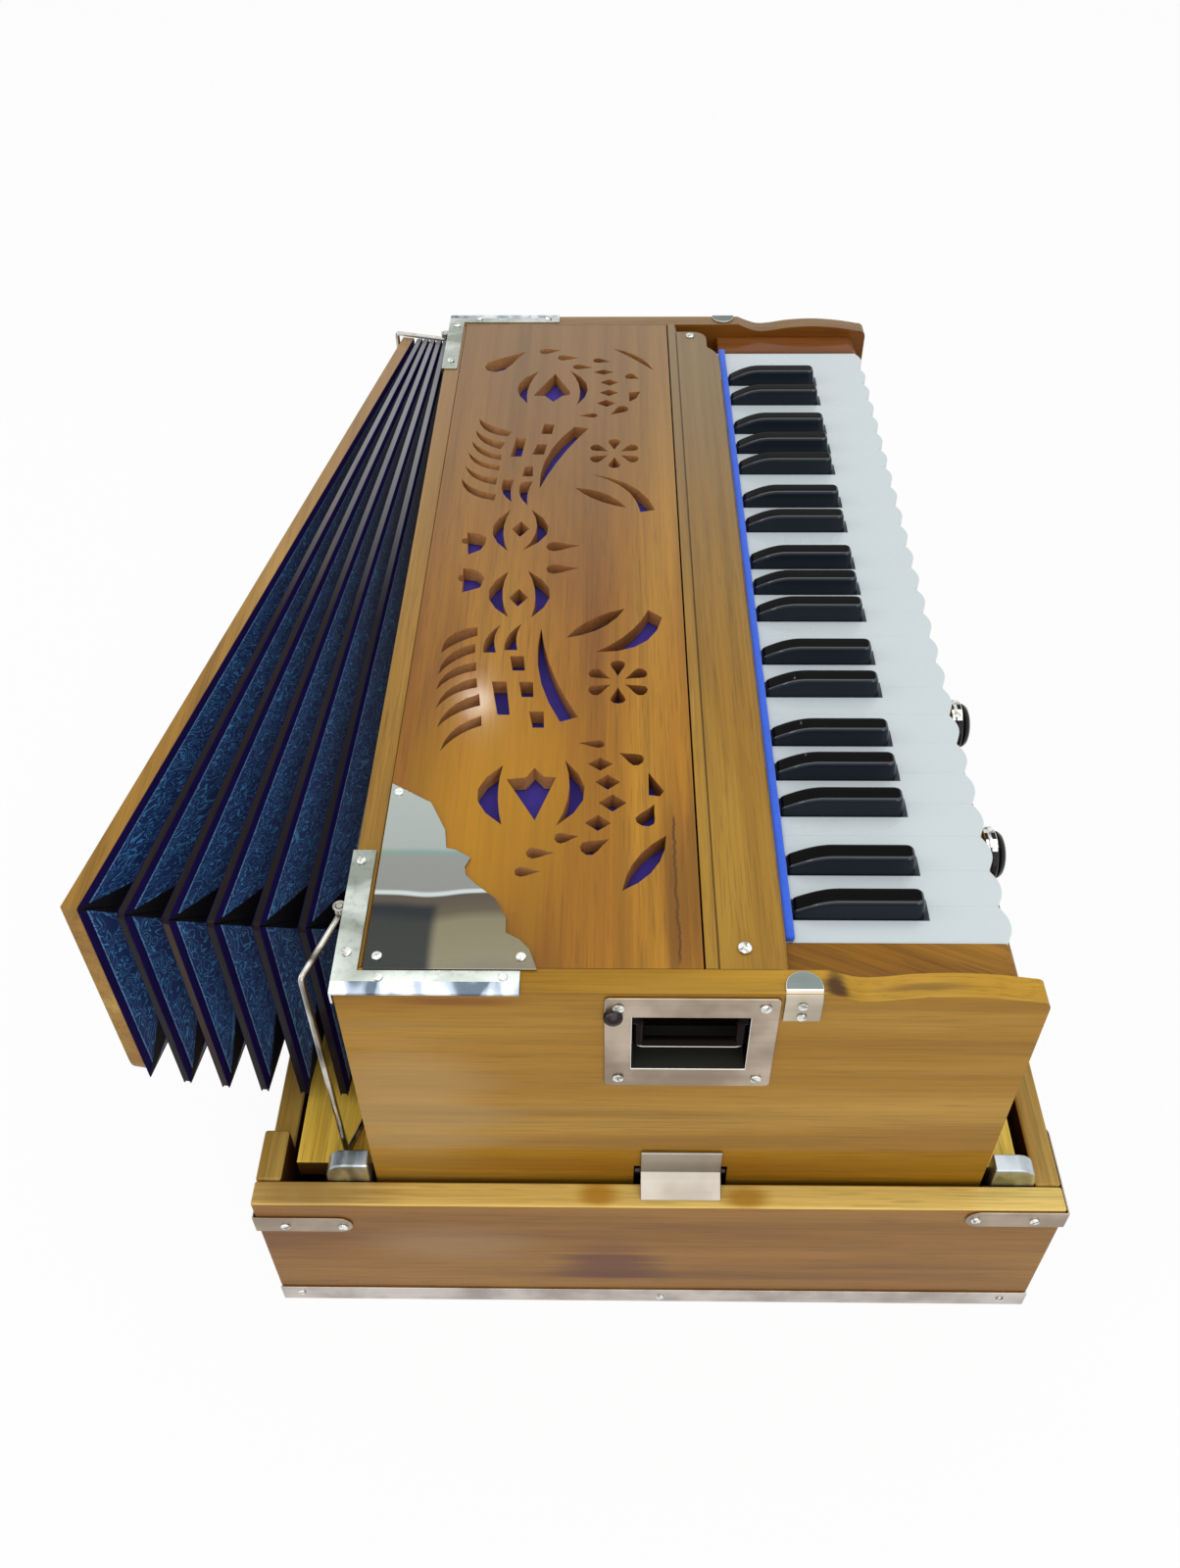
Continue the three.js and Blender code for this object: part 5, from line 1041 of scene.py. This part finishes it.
def build_bracket(end, side):
    """A corner bracket whose outer strip slopes down to the edge of the case."""
    piece = clean_copy(f"corner_bracket_{end}", f"bracket_{end}")
    cut(piece, (0, side * BRACKET_FOLD, 0), (0, 1, 0))
    for vertex in piece.data.vertices:
        if vertex.co.z > BRACKET_FLAT and side * vertex.co.y > BRACKET_EDGE:
            vertex.co.z -= BRACKET_SLOPE

    # The bracket's outer strip gets a painted reflection in bluish bands; the eye gets the wire's metal.
    def strip_or_eye(middle, normal):
        if middle.x < EYE_SIDE:
            return 2
        return int(side * middle.y > BRACKET_FOLD)

    stand_for(piece, f"corner_bracket_{end}", f"bracket_{end}", BRACKET_ROUND,
              BRACKET_METAL, BRACKET_RIM_REFLECTION, WIRE_METAL, segments=3, angle=40, choose=strip_or_eye)


def build_clip(end, side):
    """A lid clip: flat on the case, sloping over its rounded edge, then straight down."""
    clip = clean_copy(f"lid_clip_{end}", f"clip_{end}")
    cut(clip, (0, 0, CLIP_BEND), (0, 0, 1))
    for vertex in clip.data.vertices:
        if vertex.co.z > CLIP_BEND + MM and side * vertex.co.y > CLIP_EDGE:
            vertex.co.y -= side * CLIP_SLOPE

    # The clip's flat top, and a painted highlight on the bevel faces at its fold.
    def top_or_fold(middle, normal):
        if normal.z > 0.99 and middle.z > CLIP_FLAT:
            return 1
        return 2 if normal.z > 0.6 and middle.z > CLIP_FLAT else 0

    stand_for(clip, f"lid_clip_{end}", f"clip_{end}", SHEET_ROUND, CLIP_STEEL, CLIP_TOP, EDGE_HIGHLIGHT_METAL,
              angle=35, choose=top_or_fold)


def build_plates():
    for end, side in (("near", -1), ("far", 1)):
        build_bracket(end, side)
        build_clip(end, side)
        plate = clean_copy(f"handle_cup_{end}", f"handle_plate_{end}")
        round_corners(plate, PLATE_CORNER, 4, plate_corner)
        stand_for(plate, f"handle_cup_{end}", f"handle_plate_{end}", PLATE_ROUND,
                  HANDLE_STEEL, EDGE_HIGHLIGHT_METAL, CUP_WALL_SHADE, CUP_FLOOR_SHADE, angle=40, choose=plate_or_cup)
        dressed(f"flap_{end}", f"support_flap_{end}", FLAP_ROUND, FLAP_STEEL, DARK_METAL, angle=25,
                choose=lambda middle, normal: int(abs(middle.x - FLAP_X) > FLAP_HALF + NEAR))
    dressed("corner_plate", "cloud_plate", MIRROR_ROUND, PLATE_MIRROR, angle=50)
    for side in ("left", "right"):
        dressed(f"lug_near_{side}", f"lug_{side}", LUG_ROUND, LUG_METAL, segments=3, angle=40)
        dressed(f"strap_near_{side}", f"strap_{side}", SHEET_ROUND, STRAP_STEEL, angle=40)
    dressed("base_strip_near", "foot_strip", SHEET_ROUND, FOOT_STEEL, angle=40)


def wire(name, points, radius, body, slot, *materials, sides=6):
    """Round wire along points."""
    curve = bpy.data.curves.new(name, "CURVE")
    curve.dimensions = "3D"
    spline = curve.splines.new("POLY")
    spline.points.add(len(points) - 1)
    for target, point in zip(spline.points, points):
        target.co = (*point, 1)
    curve.bevel_depth = radius
    curve.bevel_resolution = sides
    curve.use_fill_caps = True
    pick_only(linked(name, curve))
    bpy.ops.object.convert(target="MESH")
    piece = bpy.context.object
    smooth(piece, 60, even=False)
    return finished(piece, name, body, slot, *materials)


def eased(corners, radius, steps=7):
    """A path through corners with each inner corner rounded."""
    path = [Vector(corners[0])]
    for before, corner, after in zip(corners, corners[1:], corners[2:]):
        before, corner, after = Vector(before), Vector(corner), Vector(after)
        start = corner + (before - corner).normalized() * radius
        end = corner + (after - corner).normalized() * radius
        for k in range(steps + 1):
            t = k / steps
            path.append((1 - t) ** 2 * start + 2 * t * (1 - t) * corner + t * t * end)
    path.append(Vector(corners[-1]))
    return path


BAIL_X = -138.2 * MM
BAIL_REACH = 36.5 * MM
BAIL_TOP = 244 * MM
BAIL_LOW = 103 * MM
BAIL_PIN_UP = 5.2 * MM
BAIL_PIN_DOWN = 7.8 * MM
WIRE_RADIUS = 1.5 * MM
WIRE_BEND = 2.2 * MM
BAILS = {
    "near": (-246.5 * MM, math.radians(71.5), -1),
    "far": (269 * MM, math.radians(14.7), 1),
}


def build_bails():
    for end, (axis_y, angle, side) in BAILS.items():
        x = BAIL_X - BAIL_REACH * math.cos(angle)
        y = axis_y + side * BAIL_REACH * math.sin(angle)
        corners = [
            (BAIL_X, axis_y, BAIL_TOP + BAIL_PIN_UP),
            (BAIL_X, axis_y, BAIL_TOP),
            (x, y, BAIL_TOP),
            (x, y, BAIL_LOW),
            (BAIL_X, axis_y, BAIL_LOW),
            (BAIL_X, axis_y, BAIL_LOW - BAIL_PIN_DOWN),
        ]
        path = eased(corners, WIRE_BEND)
        bail = wire(f"wire_bail_{end}", path, WIRE_RADIUS, f"bail_{end}", "chrome", WIRE_METAL)
        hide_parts(f"bail_{end}")


HANDLE_HALF = 23.8 * MM
HANDLE_Y = 288.9 * MM
HANDLE_TOP = 228.2 * MM
HANDLE_BAR = 211.7 * MM
HANDLE_RADIUS = 2.4 * MM
GRIP_BEND = 2.3 * MM


def build_handles():
    for end, side in (("near", -1), ("far", 1)):
        y = side * HANDLE_Y
        inner = HANDLE_HALF - HANDLE_RADIUS
        corners = [
            (HANDLE_X - HANDLE_HALF, y, HANDLE_TOP),
            (HANDLE_X - inner, y, HANDLE_TOP),
            (HANDLE_X - inner, y, HANDLE_BAR),
            (HANDLE_X + inner, y, HANDLE_BAR),
            (HANDLE_X + inner, y, HANDLE_TOP),
            (HANDLE_X + HANDLE_HALF, y, HANDLE_TOP),
        ]
        grip = wire(f"grip_{end}", eased(corners, GRIP_BEND), HANDLE_RADIUS, f"handle_{end}", "black_metal",
                    GRIP_ENAMEL, GRIP_HIGHLIGHT, sides=8)
        # A painted highlight along the grip's lower outer faces.
        paint_faces(grip, lambda middle, normal: int(
            middle.z < HANDLE_BAR and normal.z < 0.1 and side * normal.y > 0.5))
        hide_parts(f"handle_{end}")


def turned(name, profile, steps=40):
    """A piece turned on a lathe about the X axis. profile is (distance along X, radius) in millimetres."""
    points = [(along * MM, 0, radius * MM) for along, radius in profile]
    piece = mesh_piece(name, points, edges=[(k, k + 1) for k in range(len(points) - 1)])
    edit(piece)
    bpy.ops.mesh.spin(steps=steps, angle=2 * math.pi, center=(0, 0, 0), axis=(1, 0, 0))
    bpy.ops.mesh.select_all(action="SELECT")
    bpy.ops.mesh.remove_doubles(threshold=0.01 * MM)
    bpy.ops.mesh.normals_make_consistent(inside=False)
    leave_edit()
    smooth(piece, 42)
    return piece


STOP_SPACING = 98 * MM
STOP_Z = 172 * MM
STOP_BACK = 121.8 * MM
STOP_TRAVEL = 12 * MM
STOPS_DRAWN = (1, 2)
COLLAR_HIGHLIGHT_BAND = (12 * MM, 14.1 * MM)
KNOB_PROFILE = [
    (0.0, 0.0), (0.0, 3.3), (36.0, 3.3), (38.0, 6.0), (40.6, 10.6), (41.2, 11.9), (42.0, 12.3), (43.0, 12.0),
    (44.3, 10.9), (45.2, 8.9), (45.7, 5.6), (45.8, 0.0),
]
COLLAR_PROFILE = [
    (34.0, 3.4), (34.0, 13.6), (34.3, 14.2), (35.6, 14.4), (36.2, 13.9), (36.8, 13.9), (37.4, 14.4),
    (39.6, 14.4), (40.2, 13.8), (40.2, 12.6), (39.6, 10.0), (37.0, 3.4), (34.0, 3.4),
]


def build_stops():
    knob_model = turned("knob model", KNOB_PROFILE)
    collar_model = turned("collar model", COLLAR_PROFILE)
    for index in range(1, 5):
        drawn = STOP_TRAVEL if index in STOPS_DRAWN else 0
        place = (STOP_BACK + drawn, (index - 2.5) * STOP_SPACING, STOP_Z)
        knob = copy_piece(knob_model, "knob", place)
        finished(knob, f"stop_knob_{index}", f"stop_{index}", "black_knob", BLACK_KNOB)
        collar = copy_piece(collar_model, "collar", place)
        finished(collar, f"stop_collar_{index}", f"stop_{index}", "chrome", SCREW_METAL, BLACK_KNOB)
        # Only a band near the collar's top is chrome, a painted highlight; the rest of it is painted black.
        paint_faces(collar, lambda middle, normal: int(
            not COLLAR_HIGHLIGHT_BAND[0] < middle.z - STOP_Z < COLLAR_HIGHLIGHT_BAND[1]))
        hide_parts(f"stop_{index}")
    bpy.data.objects.remove(knob_model)
    bpy.data.objects.remove(collar_model)


STUD_PLACE = (-21.4 * MM, -292.8 * MM, 235.4 * MM)
STUD_PROFILE = [(0.0, 0.0), (0.0, 4.1), (1.4, 4.1), (2.6, 3.6), (3.5, 2.5), (4.0, 1.2), (4.1, 0.0)]


def build_stud():
    """A dark domed stud beside the handle plate's upper left screw."""
    stud = turned("stud", STUD_PROFILE, 28)
    stud.rotation_euler = (0, 0, math.radians(-90))
    stud.location = STUD_PLACE
    finished(stud, "handle_stud", "case", "black_metal", DARK_METAL)


# Screws
SCREW_HEAD = 0.55
SCREW_ROUND = 0.34
SLOT_SIZE = (2.4, 0.26, 0.5)
SLOT_MIDDLE = 0.52


def first_screw():
    """A round-headed screw with a slot, standing on z = 0, 1 mm in radius."""
    bpy.ops.mesh.primitive_cylinder_add(vertices=24, radius=MM, depth=SCREW_HEAD * MM,
                                        location=(0, 0, SCREW_HEAD * MM / 2))
    head = bpy.context.object
    bevel(head, SCREW_ROUND * MM, 4, 60)
    bpy.ops.mesh.primitive_cube_add(size=1, location=(0, 0, SLOT_MIDDLE * MM))
    cutter = bpy.context.object
    cutter.scale = tuple(length * MM for length in SLOT_SIZE)
    settle(cutter, "slot cutter")
    modifier = head.modifiers.new("slot", "BOOLEAN")
    modifier.operation = "DIFFERENCE"
    modifier.object = cutter
    modifier.solver = "EXACT"
    apply_modifiers(head)
    bpy.data.objects.remove(cutter)
    smooth(head, 35)
    return settle(head, "screw model")


FACES = {
    "up": Matrix.Identity(3),
    "near": Matrix.Rotation(math.radians(90), 3, "X"),
    "far": Matrix.Rotation(math.radians(-90), 3, "X"),
}
TRAY_FACE = -307.8
BRACKET_TOP = 250.6
COVER_TOP = 249.3
PLATE_FACE = 292.7
CLIP_FACE = 292.9
# Start of the names, body, side that they face and its height in millimetres, and for each screw the end
# of its name, its place on that side, its radius and its slot's turn in degrees
SCREWS = [
    ("strap_near", "tray", "near", TRAY_FACE, (
        ("a", -179, 81, 2.4, 20), ("b", -151, 80.8, 2.4, 75),
        ("c", 151, 92.5, 2.4, 130), ("d", 179, 92, 2.4, 40))),
    ("strip_near", "tray", "near", TRAY_FACE, (
        ("a", -182.5, 8, 2.0, 10), ("b", 4, 6, 2.0, 100), ("c", 180, 7, 2.0, 60))),
    ("bracket_near", "case", "up", BRACKET_TOP, (
        ("a", -131.2, -272.6, 2.2, 15), ("b", -131.6, -222.6, 2.2, 80),
        ("c", -116.6, -285.2, 2.0, 35), ("d", -66, -284.8, 2.0, 120))),
    ("bracket_far", "case", "up", BRACKET_TOP, (
        ("a", -130.3, 276, 2.4, 15), ("b", -130.5, 225.7, 2.4, 80),
        ("c", -115.5, 286, 2.4, 35), ("d", -67, 286, 2.4, 120))),
    ("plate", "case", "up", BRACKET_TOP, (
        ("a", -118.4, -274.7, 2.2, 30), ("b", -59.1, -274.8, 2.2, 95), ("c", -119.8, -180.5, 2.2, 150))),
    ("cover", "case", "up", COVER_TOP, (("a", 33, -269, 3.1, 35), ("b", 31.5, 262, 3.0, 60))),
]
HANDLE_SCREWS = (("1", -19.2, 241.2, 2.5, 25), ("2", 40.6, 241.5, 2.5, 70), ("3", -19, 190, 2.5, 110),
                 ("4", 40.4, 189.8, 2.5, 150))
CLIP_SCREWS = (("upper", 55.2, 243.4, 2.2, 20), ("lower", 55.4, 235.9, 2.2, 110))
for screw_end, screw_side in (("near", -1), ("far", 1)):
    SCREWS.append((f"handle_{screw_end}", "case", screw_end, screw_side * PLATE_FACE, HANDLE_SCREWS))
    SCREWS.append((f"clip_{screw_end}", "case", screw_end, screw_side * CLIP_FACE, CLIP_SCREWS))


def build_screws():
    model = first_screw()
    for start, body, face, height, screws in SCREWS:
        for mark, across, along, radius, turn in screws:
            name = f"{start}_{mark}"
            place = (across, along, height) if face == "up" else (across, height, along)
            screw = copy_piece(model, name)
            slot_turn = Matrix.Rotation(math.radians(turn), 3, "Z")
            shape = FACES[face] @ slot_turn @ Matrix.Diagonal((radius,) * 3)
            screw.matrix_world = Matrix.Translation(Vector(place) * MM) @ shape.to_4x4()
            finished(screw, f"screw_{name}", body, "chrome", SCREW_METAL)
    bpy.data.objects.remove(model)


# Far fittings of the tray
def build_far_trim():
    """The far end's straps and foot strip are the near end's, mirrored."""
    for source, name in (("strap_left", "strap_far_left"), ("strap_right", "strap_far_right"),
                         ("foot_strip", "foot_strip_far")):
        piece = copy_piece(PIECES[source], name)
        edit(piece)
        bpy.ops.transform.mirror(constraint_axis=(False, True, False), center_override=(0, 0, 0))
        bpy.ops.mesh.normals_make_consistent(inside=False)
        leave_edit()
        finished(piece, name, "tray", "steel")


# Bellows
FOLDS = 6
FOLD_PITCH = 4.6 * MM
FOLD_ANGLE = math.radians(1.68)
BELLOWS_X = -134.8 * MM
BELLOWS_FAR = 277 * MM
BELLOWS_LENGTH = 529 * MM
BELLOWS_LOW = 106.5 * MM
BELLOWS_HIGH = 240 * MM
HALF_RIB = 1.5 * MM
BOARD_GAP = 0.15 * MM
RIB_GAP = 0.1 * MM
RIM_INSET = 0.5 * MM
VALLEY = 25 * MM
CLOTH_RISE = 1.4
SIDE_SHIFT = 0.11
SLOPE_SHIFT = 0.37
PLEAT_SHIFT = 0.05
WOBBLE_WAVES = 40
RIB_ROUND = 0.4 * MM
TAPE_SHARE = 0.13
EDGE_SHARE = 0.165
TAPE_RAISE = 0.35 * MM
CLOTH_SWELL = 0.5 * MM
CLOTH_WOBBLE = 0.25 * MM
PLEAT_THICKNESS = 0.45 * MM
RIB_CORNER = 3 * MM
CORNER_REACH = 2 * MM
RIB_DARK_HEIGHT = 200 * MM
SIDE_NAMES = ("bottom", "far", "top", "near")
# Gusset lengths at the start and the end of each side, as the corners run.
GUSSETS = {
    "bottom": (24 * MM, 12 * MM),
    "far": (12 * MM, 12 * MM),
    "top": (12 * MM, 21 * MM),
    "near": (7 * MM, 30 * MM),
}
KIND_INDEX = {"cloth": 0, "tape": 1, "edge": 2, "gusset": 3}


def fold_place(count):
    """The frame of fold number count: its origin on the far hinge line, its Y along the rib."""
    matrix = Matrix.Translation((BELLOWS_X, BELLOWS_FAR, 0))
    step = Matrix.Translation((-FOLD_PITCH, 0, 0)) @ Matrix.Rotation(-FOLD_ANGLE, 4, "Z")
    for _ in range(int(count)):
        matrix = matrix @ step
    if count % 1:
        half_turn = Matrix.Rotation(-FOLD_ANGLE / 2, 4, "Z")
        matrix = matrix @ Matrix.Translation((-FOLD_PITCH / 2, 0, 0)) @ half_turn
    return matrix


def ring(matrix, x, inset):
    """The four corners of the bellows at a depth: near low, far low, far high, near high."""
    near, far = -BELLOWS_LENGTH + inset, -inset
    low, high = BELLOWS_LOW + inset, BELLOWS_HIGH - inset
    return [matrix @ Vector((x, y, z)) for y, z in ((near, low), (far, low), (far, high), (near, high))]


class Slopes:
    """The strips of a pleat: their points, faces, kinds of face and flat coordinates."""

    columns = 13
    rows = (0.0, TAPE_SHARE, TAPE_SHARE + 0.01, EDGE_SHARE, 0.4, 0.6, 0.8, 1.0)
    row_kinds = ("tape", "tape", "edge", "cloth", "cloth", "cloth", "cloth")

    def __init__(self):
        self.points, self.faces, self.kinds, self.flat = [], [], [], []

    def add_strip(self, rim, valley, gussets, outward, offset):
        """One slope: tape along the rim, cloth down to the valley, and a leather gusset at either end."""
        run = (valley[1] - valley[0]).length
        first_share = gussets[0] / run
        last_share = 1 - gussets[1] / run
        start = len(self.points)
        height = len(self.rows)
        last = self.columns - 1
        for c in range(self.columns):
            share = c / last
            top = rim[0].lerp(rim[1], share)
            deep = valley[0].lerp(valley[1], first_share + (last_share - first_share) * share)
            for r, down in enumerate(self.rows):
                point = top.lerp(deep, down)
                swell = CLOTH_SWELL * math.sin(math.pi * max(0.0, down - EDGE_SHARE) / (1 - EDGE_SHARE))
                wobble = CLOTH_WOBBLE * noise.noise(point * WOBBLE_WAVES)
                if r <= 1:
                    point = point + outward * TAPE_RAISE
                elif r < height - 1 and 0 < c < last:
                    point = point + outward * (swell + wobble)
                self.points.append(point)
                self.flat.append((share * run + offset, down * VALLEY * CLOTH_RISE + offset * 3))
        for c in range(last):
            for r in range(height - 1):
                a = start + c * height + r
                self.faces.append((a, a + 1, a + 1 + height, a + height))
                self.kinds.append(self.row_kinds[r])
        self.add_gusset(start, valley[0], offset, False)
        self.add_gusset(start + last * height, valley[1], offset, True)

    def add_gusset(self, base, corner, offset, turned_round):
        tip = len(self.points)
        self.points.append(corner)
        self.flat.append((offset, offset))
        for r in range(len(self.rows) - 1):
            face = (base + r, tip, base + r + 1)
            self.faces.append(tuple(reversed(face)) if turned_round else face)
            self.kinds.append("gusset")


def build_pleat(number):
    """The cloth between two neighbours of the fan, from rim to valley to rim, all round."""
    before, middle, after = fold_place(number - 1), fold_place(number - 0.5), fold_place(number)
    first_x = -BOARD_GAP if number == 1 else -HALF_RIB - RIB_GAP
    last_x = BOARD_GAP if number == FOLDS else HALF_RIB + RIB_GAP
    rims = (ring(before, first_x, RIM_INSET), ring(after, last_x, RIM_INSET))
    valley = ring(middle, 0, VALLEY)
    outs = (Vector((0, 0, -1)), Vector((0, 1, 0)), Vector((0, 0, 1)), Vector((0, -1, 0)))
    slopes = Slopes()
    for j, side in enumerate(SIDE_NAMES):
        n = (j + 1) % 4
        for s, rim in enumerate(rims):
            offset = SIDE_SHIFT * (j + 1) + SLOPE_SHIFT * s + PLEAT_SHIFT * number
            slopes.add_strip((rim[j], rim[n]), (valley[j], valley[n]), GUSSETS[side], outs[j], offset)
    pleat = mesh_piece(f"pleat_{number}", slopes.points, faces=slopes.faces)
    layer = pleat.data.uv_layers.new(name="cloth")
    for loop in pleat.data.loops:
        layer.data[loop.index].uv = slopes.flat[loop.vertex_index]
    paint(pleat, NAVY_CLOTH, PURPLE_TAPE, PALE_EDGE, BLACK_LEATHER)
    for face, kind in zip(pleat.data.polygons, slopes.kinds):
        face.material_index = KIND_INDEX[kind]
    edit(pleat)
    bpy.ops.mesh.remove_doubles(threshold=0.02 * MM)
    bpy.ops.mesh.normals_make_consistent(inside=False)
    leave_edit()
    modifier = pleat.modifiers.new("cloth thickness", "SOLIDIFY")
    modifier.thickness = PLEAT_THICKNESS
    modifier.offset = 0
    apply_modifiers(pleat)
    smooth(pleat, 30, even=False)
    settle(pleat, f"pleat_{number}")
    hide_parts("bellows_folds")
    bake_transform(pleat)


def build_rib(number):
    """A rib of the fan, with its near corners rounded."""
    node = f"bellows_rib_{number}"
    piece = clean_copy(node, f"rib_{number}")
    place = fold_place(number)
    across = (place.to_3x3() @ Vector((1, 0, 0))).normalized()
    corners = [place @ Vector((0, -BELLOWS_LENGTH, z)) for z in (BELLOWS_LOW, BELLOWS_HIGH)]

    def near_corner(middle, way):
        nearest = min((middle - corner).length for corner in corners)
        return abs(way.dot(across)) > 0.9 and nearest < CORNER_REACH

    round_corners(piece, RIB_CORNER, 5, near_corner)
    # The ribs' near faces are darker below a set height.
    stand_for(piece, node, f"rib_{number}", RIB_ROUND, RIB_WOOD, RIB_NEAR, angle=40,
              choose=lambda middle, normal: int(normal.y < -0.5 and middle.z < RIB_DARK_HEIGHT))


def build_bellows():
    for number in range(1, FOLDS + 1):
        build_pleat(number)
    for number in range(1, FOLDS):
        build_rib(number)


add_camera()
add_world()
add_floor()
for lamp in LAMPS:
    add_lamp(*lamp)
build_wood()
build_fret_panel()
build_fret_cloth()
build_felt()
build_naturals()
build_sharps()
build_plates()
build_bails()
build_handles()
build_stops()
build_stud()
build_screws()
build_far_trim()
build_bellows()

bpy.context.scene.view_settings.view_transform = "Standard"
